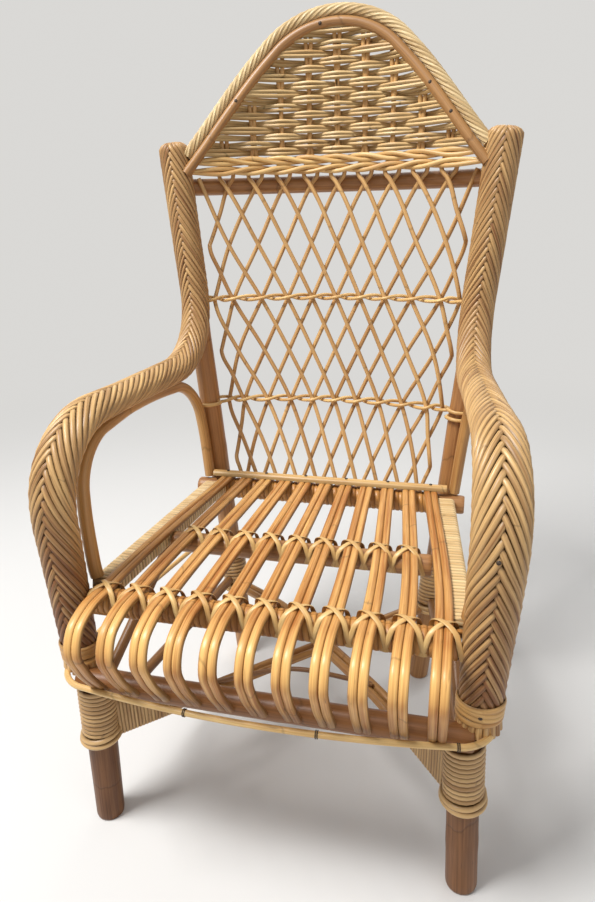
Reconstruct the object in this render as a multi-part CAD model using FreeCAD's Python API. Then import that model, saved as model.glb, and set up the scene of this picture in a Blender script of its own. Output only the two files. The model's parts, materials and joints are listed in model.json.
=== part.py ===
import FreeCAD, Part

import math
import os

V = FreeCAD.Vector

# Driving dimensions, in millimetres: X runs across, Y from front to back, Z up from the floor.
# The front feet stand at Y = 0 while the chair is drawn; the whole chair is centred when it is written.
# The overall sizes come first: stance of the front feet, height of the crest, height of the seat.
FOOT_HALF = 182.0
CREST_APEX_Z = 802.0
SEAT_HEIGHT = 278.0
FIT = 0.3

# Front legs, lower front rail and base hoop
LEG_R = 14.5
LEG_RAKE = 8.0
LOWER_RAIL_R = 11.5
LOWER_RAIL_Y = -12.0
LOWER_RAIL_DROP = 94.0
LOWER_RAIL_OVERHANG = 8.0
HOOP_R = 5.0
HOOP_RISE = 6.0
HOOP_OVERHANG = 24.0
HOOP_CORNER_R = 36.0
HOOP_SIDES = 6
HOOP_STEPS = 6

# Back posts, which are also the back legs
POST_R = 12.75
POST_FOOT_INSET = 60.0
POST_FOOT_Y = 287.0
POST_SPLAY = 1.5
POST_RAKE = 33.0
POST_TOP_DROP = 140.0

# Seat
SEAT_RAIL_R = 11.0
RAIL_WRAP = 1.6
SLEEVE_SIDES = 12
FRONT_RAIL_Y = 6.0
MID_RAIL_Y = 125.0
SIDE_RAIL_WIDTH = 26.0
SIDE_RAIL_THICK = 12.0
SIDE_RAIL_FRONT_INSET = 21.0
SIDE_RAIL_REAR_INSET = 5.25
MID_RAIL_END_GAP = 1.5
SLAT_PAIRS = 11
SLAT_WIDTH = 7.4
SLAT_THICK = 4.0
SLAT_TOP_SHARE = 0.6
SLAT_FRONT_EDGE_GAP = 11.0
SLAT_REAR_EDGE_GAP = 14.0
SLAT_NOSE_R = 26.0
SLAT_NOSE_TURN = 130.0
SLAT_NOSE_STEPS = 3
BATTEN_WIDTH = 12.0
BATTEN_THICK = 6.0
BATTEN_OVERHANG = 5.0
LASH_WIDTH = 4.0
LASH_THICK = 1.2
LASH_SPREAD = 0.75
LASH_DROP = 9.6

# Arms
ARM_RISE = 146.0
ARM_FOOT_SPLAY = 10.0
ARM_FLARE = 7.5
ARM_Y = 0.0
ARM_FRONT_BEND = 80.0
ARM_REAR_BEND = 85.0
ARM_BITE_SHARE = 0.6
CORE_STEP = 0.25
CORE_TAPER = 3.0
CORE_TAPER_LENGTH = 130.0
CORE_SWELL = 5.0
CORE_SWELL_AT = 0.27
CORE_SWELL_SPREAD = 0.13
CORE_STATIONS = 22
CORE_SIDES = 6
BRAID_GAP = 0.3
BRAID_THICK = 5.4
BRAID_WIDTH = 8.2
BRAID_PITCH = 15.2
BRAID_SLOPE = 1.5
BRAID_FIRST_DEG = 12.0
BRAID_LAST_DEG = 135.0
BRAID_RUNS = 2
BRAID_SHORTEST_DEG = 20.0
BRAID_FOOT_RISE = 13.0
BAND_TURNS = 4
BAND_HEIGHT = 5.0
BAND_THICK = 1.5
SUPPORT_R = 6.5
SUPPORT_BEND = 55.0
SUPPORT_POST_OFFSET = 8.0
SUPPORT_FOOT_INSET = 12.5
SUPPORT_SIDES = 6
SUPPORT_STEPS = 6

# Leg wraps, stretchers and braces
WRAP_BOTTOM_Z = 102.0
WRAP_TOP_DROP = 20.0
WRAP_TURNS = 4
WRAP_THICK = 4.5
WRAP_RING = 6.0
WRAP_RING_BULGE = 2.0
WRAP_GROOVE = 1.5
WRAP_SIDES = 8
STRETCHER_R = 6.0
STRETCHER_RISE = 20.0
STRUT_R = 5.5
STRUT_FOOT_DROP = 14.0
STRUT_TOP_Y = 150.0
BRACE_R = 4.6
BRACE_RISE = 6.0
BRACE_ARCH = 26.0
BRACE_ARCH_SHARE = 0.28
BRACE_ARCH_R = 200.0
BRACE_ARCH_STEPS = 2
BRACE_BOW_R = 2.5
BRACE_BOW_BEND = 120.0
BRACE_BOW_SHARE = 0.3
BRACE_BOW_RISE = 22.0
BRACE_BOW_STEPS = 5
BRACE_SIDES = 6

# Back: crossbar, canes, woven panel and crest
BACK_BOW = 45.0
BACK_BOW_UPPER_SHARE = 0.9
BACK_BOW_LOWER_SHARE = 0.72
CROSSBAR_R = 9.5
CROSSBAR_DROP = 40.0
CROSSBAR_END_GAP = 3.0
CROSSBAR_RUNS = 5
CANE_R = 2.7
CANE_TOP_SHARE = 0.3
CANE_SIDES = 5
PANEL_PAIRS = 9
PANEL_EDGE_GAP = 6.0
ROW_UPPER_SHARE = 0.625
ROW_UPPER_EDGE_GAP = 32.1
ROW_LOWER_SHARE = 0.2587
ROW_LOWER_EDGE_GAP = 27.3
LATTICE_SHIFT = 2.0
LATTICE_LAST_SHIFT = 1.5
EDGE_SHARE = 0.6
TWINE_R = 2.1
TWINE_SIDES = 4
WALE_R = 2.3
WALE_SIDES = 5
PANEL_OVERHANG = 0.62
WEAVER_R = 1.75
WEAVER_SIDES = 4
WEAVER_ROW = 7.6
CREST_SHOULDER_INSET = 17.5
CREST_SHOULDER_RISE = 5.0
CREST_FLANK_DEG = 52.0
CREST_SETBACK = 2.0
CREST_STEPS = 8
ROLL_R = 6.5
CREST_BOW_R = 5.5
CREST_SIDES = 8

# Sizes that follow from the driving ones
LEG_TOP_HALF = FOOT_HALF - LEG_RAKE
LOWER_RAIL_Z = SEAT_HEIGHT - LOWER_RAIL_DROP
LOWER_RAIL_HALF = LEG_TOP_HALF + LOWER_RAIL_OVERHANG
HOOP_Z = LOWER_RAIL_Z + HOOP_RISE
HOOP_SIDE_HALF = LOWER_RAIL_HALF + HOOP_OVERHANG
POST_FOOT_HALF = FOOT_HALF - POST_FOOT_INSET
POST_TOP_HALF = FOOT_HALF + POST_SPLAY
POST_TOP_Y = POST_FOOT_Y + POST_RAKE
POST_TOP_Z = CREST_APEX_Z - POST_TOP_DROP
CORE_R = POST_R + CORE_STEP
ARM_HEIGHT = SEAT_HEIGHT + ARM_RISE
ARM_FOOT_HALF = LEG_TOP_HALF + ARM_FOOT_SPLAY
ARM_FRONT_HALF = ARM_FOOT_HALF + ARM_FLARE
BRAID_FOOT_Z = LOWER_RAIL_Z + BRAID_FOOT_RISE
SUPPORT_FOOT_HALF = ARM_FOOT_HALF - SUPPORT_FOOT_INSET
WRAP_TOP_Z = LOWER_RAIL_Z - WRAP_TOP_DROP
STRETCHER_Z = WRAP_BOTTOM_Z + STRETCHER_RISE
STRUT_FOOT_Z = WRAP_TOP_Z - STRUT_FOOT_DROP
BRACE_Z = WRAP_BOTTOM_Z + BRACE_RISE
CROSSBAR_Z = POST_TOP_Z - CROSSBAR_DROP
ROW_UPPER_Z = SEAT_HEIGHT + (CROSSBAR_Z - SEAT_HEIGHT) * ROW_UPPER_SHARE
ROW_LOWER_Z = SEAT_HEIGHT + (CROSSBAR_Z - SEAT_HEIGHT) * ROW_LOWER_SHARE
CREST_SHOULDER_HALF = POST_TOP_HALF - CREST_SHOULDER_INSET
CREST_SHOULDER_Z = POST_TOP_Z + CREST_SHOULDER_RISE
SEAT_RAIL_Z = SEAT_HEIGHT - SLAT_THICK - FIT - RAIL_WRAP - SEAT_RAIL_R
RAIL_SLEEVE_R = SEAT_RAIL_R + RAIL_WRAP
SIDE_TOP_Z = SEAT_RAIL_Z + SEAT_RAIL_R
SLAT_BOTTOM_Z = SEAT_HEIGHT - SLAT_THICK


def chord_lift(sweep):
    """How far out the ends of a strand's straight runs stand, for the runs to clear a round pole."""
    return 1 / math.cos(sweep / BRAID_RUNS / 2)


def braid_outer(inner):
    """Radius of the braid's outer face on a pole of radius inner."""
    sweep = math.radians(BRAID_LAST_DEG - BRAID_FIRST_DEG)
    return (inner + BRAID_GAP) * chord_lift(sweep) + BRAID_THICK


POST_TOP_R = braid_outer(CORE_R)


def post_at(side, z):
    share = z / POST_TOP_Z
    x = POST_FOOT_HALF + (POST_TOP_HALF - POST_FOOT_HALF) * share
    y = POST_FOOT_Y + (POST_TOP_Y - POST_FOOT_Y) * share
    return V(side * x, y, z)


REAR_RAIL_Y = post_at(1, SEAT_RAIL_Z).y - POST_R - SEAT_RAIL_R - FIT
SIDE_RAIL_FRONT_HALF = ARM_FOOT_HALF - SIDE_RAIL_FRONT_INSET
SIDE_RAIL_REAR_HALF = post_at(1, SEAT_RAIL_Z).x - SIDE_RAIL_REAR_INSET
BATTEN_HALF = SIDE_RAIL_REAR_HALF + BATTEN_OVERHANG
SLAT_FRONT_PITCH = 2 * (SIDE_RAIL_FRONT_HALF - SLAT_FRONT_EDGE_GAP) / (SLAT_PAIRS - 1)
SLAT_REAR_PITCH = 2 * (SIDE_RAIL_REAR_HALF - SLAT_REAR_EDGE_GAP) / (SLAT_PAIRS - 1)
EDGE_STEP = (PANEL_PAIRS + 1) // 2
EDGE_REACH = EDGE_STEP - 1 + EDGE_SHARE
CROSSBAR_PITCH = (CREST_SHOULDER_HALF - PANEL_EDGE_GAP) / EDGE_STEP
ROW_UPPER_PITCH = (post_at(1, ROW_UPPER_Z).x - ROW_UPPER_EDGE_GAP) / EDGE_REACH
ROW_LOWER_PITCH = (post_at(1, ROW_LOWER_Z).x - ROW_LOWER_EDGE_GAP) / EDGE_REACH

# Lattice levels from the crossbar down to the seat, each with its height and the pitch of the canes,
# and the number of pitches a cane moves across in each band between them
LEVELS = [
    (CROSSBAR_Z, CROSSBAR_PITCH),
    (ROW_UPPER_Z, ROW_UPPER_PITCH),
    (ROW_LOWER_Z, ROW_LOWER_PITCH),
    (SEAT_RAIL_Z, SLAT_REAR_PITCH),
]
BAND_SHIFTS = [LATTICE_SHIFT, LATTICE_SHIFT, LATTICE_LAST_SHIFT]


def rounded_route(points, radii, steps):
    """Straight runs joined by tangent arcs, as points: each arc is divided into equal steps."""
    route = [points[0]]
    for before, corner, after, radius in zip(points, points[1:], points[2:], radii):
        towards_before = (before - corner).normalize()
        towards_after = (after - corner).normalize()
        half_angle = towards_before.getAngle(towards_after) / 2
        inward = (towards_before + towards_after).normalize()
        centre = corner + inward * (radius / math.sin(half_angle))
        reach = radius / math.tan(half_angle)
        spoke = corner + towards_before * reach - centre
        last_spoke = corner + towards_after * reach - centre
        axis = spoke.cross(last_spoke)
        sweep = math.degrees(math.pi - 2 * half_angle)
        for k in range(steps + 1):
            turn = FreeCAD.Rotation(axis, sweep * k / steps)
            route.append(centre + turn.multVec(spoke))
    route.append(points[-1])
    return route


def rod(start, end, radius):
    along = end - start
    return Part.makeCylinder(radius, along.Length, start, along)


def polygon(radius, sides, first=0.0):
    """Corners of a regular section: first shifts them round, in shares of one side."""
    turn = 2 * math.pi / sides
    angles = [turn * (k + first) for k in range(sides)]
    return [(radius * math.cos(angle), radius * math.sin(angle)) for angle in angles]


def solid_of(faces):
    return Part.Solid(Part.Shell(faces))


def flat_face(corners):
    return Part.Face(Part.makePolygon(corners + corners[:1]))


def section_ring(centre, along, up, section):
    across = along.cross(up).normalize()
    lift = across.cross(along).normalize()
    return [centre + across * u + lift * v for u, v in section]


def cane(path, section, up):
    """A cane of constant section along a path of straight runs, mitred where the runs meet."""
    runs = [(b - a).normalize() for a, b in zip(path, path[1:])]
    rings = [section_ring(path[0], runs[0], up, section)]
    for index, point in enumerate(path[1:]):
        run = runs[index]
        mitre = run
        if index + 1 < len(runs):
            mitre = (run + runs[index + 1]).normalize()
        ring = [p + run * ((point - p).dot(mitre) / run.dot(mitre)) for p in rings[-1]]
        rings.append(ring)
    faces = [flat_face(rings[0][::-1]), flat_face(rings[-1])]
    for low, high in zip(rings, rings[1:]):
        for k in range(len(low)):
            nxt = (k + 1) % len(low)
            faces.append(flat_face([low[k], low[nxt], high[nxt], high[k]]))
    return solid_of(faces)


def twisted_strip(rings):
    """A strand through sections that turn along it, with each side split in two triangles."""
    faces = [flat_face(rings[0][::-1]), flat_face(rings[-1])]
    for low, high in zip(rings, rings[1:]):
        for k in range(len(low)):
            nxt = (k + 1) % len(low)
            faces.append(flat_face([low[k], low[nxt], high[nxt]]))
            faces.append(flat_face([low[k], high[nxt], high[k]]))
    return solid_of(faces)


def turned_sleeve(profile, sides, low, high):
    """A sleeve of flat sides from low to high; profile lists its section as (radius, height)."""
    axis = (high - low).normalize()
    up = axis.cross(V(0, 1, 0))
    corner = 1 / math.cos(math.pi / sides)
    rings = [section_ring(low + axis * h, axis, up, polygon(r * corner, sides, 0.5)) for r, h in profile]
    faces = []
    for below, above in zip(rings, rings[1:] + rings[:1]):
        for k in range(sides):
            nxt = (k + 1) % sides
            faces.append(flat_face([below[k], below[nxt], above[nxt], above[k]]))
    return solid_of(faces)


def floor_cut(shape):
    """The shape above the floor."""
    box = shape.BoundBox
    slab = Part.makeBox(box.XLength, box.YLength, -box.ZMin, V(box.XMin, box.YMin, box.ZMin))
    return shape.cut(slab)


# Frame poles

def front_leg(side):
    leg = floor_cut(rod(on_leg(side, False, -LEG_R), on_leg(side, False, LOWER_RAIL_Z - FIT / 2), LEG_R))
    return leg.cut(lower_rail(FIT))


def lower_rail(clearance=0.0):
    start = V(-LOWER_RAIL_HALF, LOWER_RAIL_Y, LOWER_RAIL_Z)
    end = V(LOWER_RAIL_HALF, LOWER_RAIL_Y, LOWER_RAIL_Z)
    return rod(start, end, LOWER_RAIL_R + clearance)


def back_post(side, clearance=0.0):
    return floor_cut(rod(post_at(side, -POST_R), post_at(side, POST_TOP_Z), POST_R + clearance))


def base_hoop():
    front_y = LOWER_RAIL_Y - LOWER_RAIL_R - SLAT_THICK - 2 * FIT - HOOP_R
    ends = []
    for side in (-1, 1):
        post = post_at(side, HOOP_Z)
        ends.append(V(post.x + side * (POST_R + HOOP_R + 2 * FIT), post.y, HOOP_Z))
    corners = [V(side * HOOP_SIDE_HALF, front_y, HOOP_Z) for side in (-1, 1)]
    path = [ends[0], corners[0], corners[1], ends[1]]
    route = rounded_route(path, [HOOP_CORNER_R, HOOP_CORNER_R], HOOP_STEPS)
    return cane(route, polygon(HOOP_R, HOOP_SIDES), V(0, 0, 1))


# Seat

def arm_at_seat(side):
    """Centre and outer radius of the braided arm at the height of the seat rails."""
    path = ArmPath(side)
    s = SEAT_RAIL_Z - LOWER_RAIL_Z
    return path.at(s)[0], braid_outer(path.core_radius(s))


def front_rail_half():
    centre, radius = arm_at_seat(1)
    return centre.x - radius - FIT


def seat_front_rail():
    half = front_rail_half()
    return rod(V(-half, FRONT_RAIL_Y, SEAT_RAIL_Z), V(half, FRONT_RAIL_Y, SEAT_RAIL_Z), SEAT_RAIL_R)


def seat_mid_rail():
    share = (MID_RAIL_Y - FRONT_RAIL_Y) / (REAR_RAIL_Y - FRONT_RAIL_Y)
    half = SIDE_RAIL_FRONT_HALF + (SIDE_RAIL_REAR_HALF - SIDE_RAIL_FRONT_HALF) * share
    half -= SIDE_RAIL_WIDTH / 2 + RAIL_WRAP + MID_RAIL_END_GAP
    z = SEAT_RAIL_Z + RAIL_WRAP
    return rod(V(-half, MID_RAIL_Y, z), V(half, MID_RAIL_Y, z), SEAT_RAIL_R)


def seat_rear_rail():
    half = SIDE_RAIL_REAR_HALF + SIDE_RAIL_WIDTH
    return rod(V(-half, REAR_RAIL_Y, SEAT_RAIL_Z), V(half, REAR_RAIL_Y, SEAT_RAIL_Z), SEAT_RAIL_R)


def rail_sleeve(half, y):
    inner = SEAT_RAIL_R + FIT / 2
    profile = [(inner, 0), (RAIL_SLEEVE_R, 0), (RAIL_SLEEVE_R, 2 * half), (inner, 2 * half)]
    return turned_sleeve(profile, SLEEVE_SIDES, V(-half, y, SEAT_RAIL_Z), V(half, y, SEAT_RAIL_Z))


def side_band(side, thickness, bottom_z, front_y, rear_y, half_width):
    corners = [
        V(side * (SIDE_RAIL_FRONT_HALF - half_width), front_y, bottom_z),
        V(side * (SIDE_RAIL_FRONT_HALF + half_width), front_y, bottom_z),
        V(side * (SIDE_RAIL_REAR_HALF + half_width), rear_y, bottom_z),
        V(side * (SIDE_RAIL_REAR_HALF - half_width), rear_y, bottom_z),
    ]
    return flat_face(corners).extrude(V(0, 0, thickness))


def side_rail_ends():
    gap = RAIL_SLEEVE_R + 2 * LASH_THICK + 8 * FIT
    return FRONT_RAIL_Y + gap, REAR_RAIL_Y - RAIL_SLEEVE_R - FIT


def arm_clearance(side):
    centre, radius = arm_at_seat(side)
    drop = V(0, 0, 2 * SIDE_RAIL_THICK)
    return rod(centre - drop, centre + drop, radius + FIT)


def seat_side_rail(side):
    front_y, rear_y = side_rail_ends()
    bottom = SIDE_TOP_Z - SIDE_RAIL_THICK
    bar = side_band(side, SIDE_RAIL_THICK, bottom, front_y, rear_y, SIDE_RAIL_WIDTH / 2)
    return bar.cut(arm_clearance(side))


def seat_side_wrap(side):
    front_y, rear_y = side_rail_ends()
    ease = FIT / 4
    bottom = SIDE_TOP_Z - SIDE_RAIL_THICK
    outer = side_band(
        side,
        SIDE_RAIL_THICK + 2 * RAIL_WRAP,
        bottom - RAIL_WRAP,
        front_y,
        rear_y,
        SIDE_RAIL_WIDTH / 2 + RAIL_WRAP,
    )
    inner = side_band(
        side, SIDE_RAIL_THICK + 2 * ease, bottom - ease, front_y, rear_y, SIDE_RAIL_WIDTH / 2 + ease
    )
    return outer.cut(inner).cut(arm_clearance(side))


def strip_section(width, thickness):
    """Section of a split cane: flat below, narrower on top."""
    top = width * SLAT_TOP_SHARE
    return [(-width / 2, 0), (width / 2, 0), (top / 2, thickness), (-top / 2, thickness)]


def slat_nose():
    """Front of a slat as (Y, Z) of its underside: round the nose, back, down behind the hoop."""
    tuck_y = LOWER_RAIL_Y - LOWER_RAIL_R - FIT
    tuck_z = HOOP_Z + 2 * HOOP_R
    turn = math.radians(SLAT_NOSE_TURN)
    centre_z = SLAT_BOTTOM_Z - SLAT_NOSE_R
    round_end_z = centre_z + SLAT_NOSE_R * math.cos(turn)
    round_end_y = tuck_y + (round_end_z - tuck_z) / math.tan(turn)
    centre_y = round_end_y + SLAT_NOSE_R * math.sin(turn)
    points = []
    for k in range(SLAT_NOSE_STEPS + 1):
        angle = turn * k / SLAT_NOSE_STEPS
        points.append((centre_y - SLAT_NOSE_R * math.sin(angle), centre_z + SLAT_NOSE_R * math.cos(angle)))
    points.append((tuck_y, tuck_z))
    points.append((tuck_y, HOOP_Z - HOOP_R))
    return points


def slat_x(number, y):
    offset = number - (SLAT_PAIRS + 1) / 2
    share = (y - FRONT_RAIL_Y) / (REAR_RAIL_Y - FRONT_RAIL_Y)
    share = max(share, 0)
    return offset * (SLAT_FRONT_PITCH + (SLAT_REAR_PITCH - SLAT_FRONT_PITCH) * share)


def slat_pair(number):
    strips = []
    for shift in (-1, 1):
        aside = shift * (SLAT_WIDTH / 2 + FIT / 2)
        rear_y = REAR_RAIL_Y + SEAT_RAIL_R / 2
        path = [V(slat_x(number, y) + aside, y, SLAT_BOTTOM_Z) for y in (rear_y, FRONT_RAIL_Y)]
        for y, z in slat_nose():
            path.append(V(slat_x(number, y) + aside, y, z))
        strips.append(cane(path, strip_section(SLAT_WIDTH, SLAT_THICK), V(0, 0, 1)))
    return Part.makeCompound(strips)


def rear_batten():
    z = SEAT_HEIGHT + FIT
    path = [V(-BATTEN_HALF, REAR_RAIL_Y, z), V(BATTEN_HALF, REAR_RAIL_Y, z)]
    return cane(path, strip_section(BATTEN_WIDTH, BATTEN_THICK), V(0, 0, 1))


def lashing(y, first, last):
    """Flat cane crossed over the slat pairs from first to last and down both sides of the rail."""
    half_width = LASH_WIDTH / 2
    section = [(-half_width, 0), (half_width, 0), (half_width, LASH_THICK), (-half_width, LASH_THICK)]
    reach = SLAT_WIDTH + LASH_WIDTH * LASH_SPREAD
    side_y = RAIL_SLEEVE_R + FIT
    strips = []
    for number in range(first, last + 1):
        x = slat_x(number, y)
        for lift, lean in ((2 * FIT, 1), (LASH_THICK + 5 * FIT, -1)):
            top = SEAT_HEIGHT + lift
            low = top - LASH_DROP
            corner_y = side_y * LASH_SPREAD + lift
            path = [
                V(x - lean * (reach + half_width), y + side_y + lift, low),
                V(x - lean * reach, y + corner_y, top),
                V(x + lean * reach, y - corner_y, top),
                V(x + lean * (reach + half_width), y - side_y - lift, low),
            ]
            strips.append(cane(path, section, V(0, 0, 1)))
    return Part.makeCompound(strips)


# Arms

def arm_points(side):
    rear = post_at(side, ARM_HEIGHT)
    return [
        V(side * ARM_FOOT_HALF, ARM_Y, LOWER_RAIL_Z + 4 * FIT),
        V(side * ARM_FRONT_HALF, ARM_Y, ARM_HEIGHT),
        V(rear.x, rear.y, ARM_HEIGHT),
        post_at(side, POST_TOP_Z),
    ]


class ArmPath:
    """Centre line of one arm, from the lower rail over the armrest to the top of the post."""

    ARC_STEPS = 30

    def __init__(self, side):
        self.side = side
        self.route = rounded_route(arm_points(side), [ARM_FRONT_BEND, ARM_REAR_BEND], self.ARC_STEPS)
        self.reached = [0.0]
        for here, there in zip(self.route, self.route[1:]):
            self.reached.append(self.reached[-1] + (there - here).Length)
        self.length = self.reached[-1]

    def at(self, s):
        s = min(max(s, 0), self.length)
        index = 0
        while index < len(self.route) - 2 and self.reached[index + 1] < s:
            index += 1
        here, there = self.route[index], self.route[index + 1]
        along = (there - here).normalize()
        centre = here + along * (s - self.reached[index])
        seam = V(1, 0, 0).cross(along).normalize()
        across = along.cross(seam) * -self.side
        return centre, along, seam, across

    def core_radius(self, s):
        taper = CORE_TAPER * max(1 - s / CORE_TAPER_LENGTH, 0)
        spread = (s / self.length - CORE_SWELL_AT) / CORE_SWELL_SPREAD
        return CORE_R - taper + CORE_SWELL * math.exp(-spread * spread)

    def meets_post(self):
        """Distance along the path at which the arm pole reaches the face of the post."""
        for point, reached in zip(self.route, self.reached):
            if point.y > post_at(self.side, point.z).y - POST_R * ARM_BITE_SHARE:
                return reached
        return self.length


def arm_core(side):
    path = ArmPath(side)
    end = path.meets_post()
    rings = []
    for k in range(CORE_STATIONS + 1):
        s = end * k / CORE_STATIONS
        centre, along, seam, _ = path.at(s)
        rings.append(section_ring(centre, along, seam, polygon(path.core_radius(s), CORE_SIDES, 0.5)))
    body = twisted_strip(rings)
    body = body.cut(lower_rail(FIT))
    return body.cut(back_post(side, FIT))


def braid_section(width):
    return [(-width / 2, 0), (width / 2, 0), (0, BRAID_THICK)]


def braid_spot(path, seam_s, turn, hand, lift):
    """Point under a strand at an angle from the seam, and the direction out of the arm there."""
    radius = path.core_radius(min(max(seam_s, 0), path.length)) + BRAID_THICK / 2
    s = seam_s - BRAID_SLOPE * radius * turn
    centre, along, seam, across = path.at(s)
    outward = seam * math.cos(turn) + across * (hand * math.sin(turn))
    return centre + outward * ((path.core_radius(s) + BRAID_GAP) * lift), outward


def braid_strand(path, seam_s, hand):
    """One strand: from the seam round one side of the arm, trailing back along it as it goes."""
    foot_s = BRAID_FOOT_Z - LOWER_RAIL_Z
    radius = path.core_radius(min(max(seam_s, 0), path.length)) + BRAID_THICK / 2
    fall = BRAID_SLOPE * radius
    first = max(math.radians(BRAID_FIRST_DEG), (seam_s - path.length) / fall)
    last = min(math.radians(BRAID_LAST_DEG), (seam_s - foot_s) / fall)
    if last - first < math.radians(BRAID_SHORTEST_DEG):
        return None
    turns = [first + (last - first) * k / BRAID_RUNS for k in range(BRAID_RUNS + 1)]
    lift = chord_lift(last - first)
    spots = [braid_spot(path, seam_s, turn, hand, lift) for turn in turns]
    rings = []
    for k, (spot, outward) in enumerate(spots):
        before = spots[max(k - 1, 0)][0]
        after = spots[min(k + 1, BRAID_RUNS)][0]
        run = (after - before).normalize()
        width = BRAID_WIDTH
        for neighbour in (seam_s - BRAID_PITCH, seam_s + BRAID_PITCH):
            step = braid_spot(path, neighbour, turns[k], hand, lift)[0] - spot
            room = (step - run * step.dot(run)).Length - FIT
            width = min(width, max(room, BRAID_WIDTH / 2))
        rings.append(section_ring(spot, run, outward, braid_section(width)))
    return twisted_strip(rings)


def beside_post(strand, post):
    """A strand where the arm joins its post, with the post's room taken out of it."""
    if not strand.BoundBox.intersect(post.BoundBox):
        return strand
    rest = strand.cut(post)
    return max(rest.Solids, key=lambda solid: solid.Volume)


def arm_braid(side):
    path = ArmPath(side)
    post_room = (POST_R + FIT) / math.cos(math.pi / WRAP_SIDES)
    post = cane([post_at(side, 0), post_at(side, POST_TOP_Z)], polygon(post_room, WRAP_SIDES), V(0, 1, 0))
    strands = []
    for hand, phase in ((1, 0.0), (-1, 0.5)):
        count = int(path.length / BRAID_PITCH) + 3
        for k in range(2, count):
            strand = braid_strand(path, (k + phase) * BRAID_PITCH, hand)
            if strand:
                strands.append(beside_post(strand, post))
    return Part.makeCompound(strands)


def arm_band(side):
    """Flat turns of cane that hold the foot of the braid."""
    path = ArmPath(side)
    step = BAND_HEIGHT + FIT
    first_s = BRAID_FOOT_Z - LOWER_RAIL_Z + FIT
    widest = braid_outer(path.core_radius(first_s + BAND_TURNS * step))
    inner = widest + FIT
    outer = inner + BAND_THICK
    profile = [(inner, 0), (outer, 0), (outer, BAND_HEIGHT), (inner, BAND_HEIGHT)]
    rings = []
    for turn in range(BAND_TURNS):
        centre, along, _, _ = path.at(first_s + turn * step)
        rings.append(turned_sleeve(profile, WRAP_SIDES, centre, centre + along))
    return Part.makeCompound(rings)


def arm_support(side):
    post_low = post_at(side, SEAT_RAIL_Z)
    post_high = post_at(side, ARM_HEIGHT)
    aside = V(side * SUPPORT_POST_OFFSET, -(POST_R + SUPPORT_R), 0)
    rear_z = ARM_HEIGHT - CORE_R - SUPPORT_R - FIT
    front_z = rear_z - CORE_SWELL
    behind_arm = ARM_Y + CORE_R + CORE_SWELL + SUPPORT_R + FIT
    foot = V(side * SUPPORT_FOOT_HALF, behind_arm, SIDE_TOP_Z + RAIL_WRAP + FIT)
    front_top = V(side * ARM_FRONT_HALF, behind_arm, front_z)
    lean = abs(front_top.x - foot.x) / (front_top.z - foot.z)
    foot.z += lean * SUPPORT_R
    rear_share = (rear_z - post_low.z) / (post_high.z - post_low.z)
    rear_top = post_low + (post_high - post_low) * rear_share + aside
    rear_foot = V(post_low.x, post_low.y, SEAT_RAIL_Z + RAIL_SLEEVE_R + FIT) + aside
    route = rounded_route([foot, front_top, rear_top, rear_foot], [SUPPORT_BEND, SUPPORT_BEND], SUPPORT_STEPS)
    return cane(route, polygon(SUPPORT_R, SUPPORT_SIDES), V(1, 0, 0))


# Legs: wraps, stretchers, struts and braces

def leg_axis(side, back):
    if back:
        return post_at(side, 0), post_at(side, LOWER_RAIL_Z)
    return V(side * FOOT_HALF, 0, 0), V(side * LEG_TOP_HALF, 0, LOWER_RAIL_Z)


def on_leg(side, back, z):
    low, high = leg_axis(side, back)
    return low + (high - low) * ((z - low.z) / (high.z - low.z))


def wrap_outer(back):
    return (POST_R if back else LEG_R) + FIT + WRAP_THICK


def leg_wrap(side, back):
    """Turns of cane round a leg, one groove between turns, with a thicker ring at the bottom."""
    inner = (POST_R if back else LEG_R) + FIT
    outer = wrap_outer(back)
    low = on_leg(side, back, WRAP_BOTTOM_Z)
    high = on_leg(side, back, WRAP_TOP_Z)
    length = (high - low).Length
    turn = (length - WRAP_RING) / WRAP_TURNS
    groove = outer - WRAP_GROOVE
    bulge = outer + WRAP_RING_BULGE
    profile = [(inner, 0), (outer, 0), (bulge, WRAP_RING / 2), (groove, WRAP_RING)]
    for k in range(WRAP_TURNS):
        profile.append((outer, WRAP_RING + turn * (k + 0.5)))
        profile.append((groove, WRAP_RING + turn * (k + 1)))
    profile.append((inner, length))
    return turned_sleeve(profile, WRAP_SIDES, low, high)


def beside_wrap(start, end, back, radius, bulge=0.0):
    """Where a cane that runs from the axis of a leg towards end comes clear of the leg's wrap."""
    along = (end - start).normalize()
    level = math.hypot(along.x, along.y)
    room = wrap_outer(back) + bulge + 3 * FIT + radius * abs(along.z)
    return start + along * (room / level)


def side_stretcher(side):
    front = on_leg(side, False, STRETCHER_Z)
    rear = on_leg(side, True, STRETCHER_Z)
    path = [beside_wrap(front, rear, False, STRETCHER_R), beside_wrap(rear, front, True, STRETCHER_R)]
    return cane(path, polygon(STRETCHER_R, BRACE_SIDES), V(0, 0, 1))


def brace_line(side, share, rise):
    """Point on a diagonal from a front leg to the back leg across the chair."""
    start = on_leg(side, False, BRACE_Z)
    end = on_leg(-side, True, BRACE_Z)
    return start + (end - start) * share + V(0, 0, rise)


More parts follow.
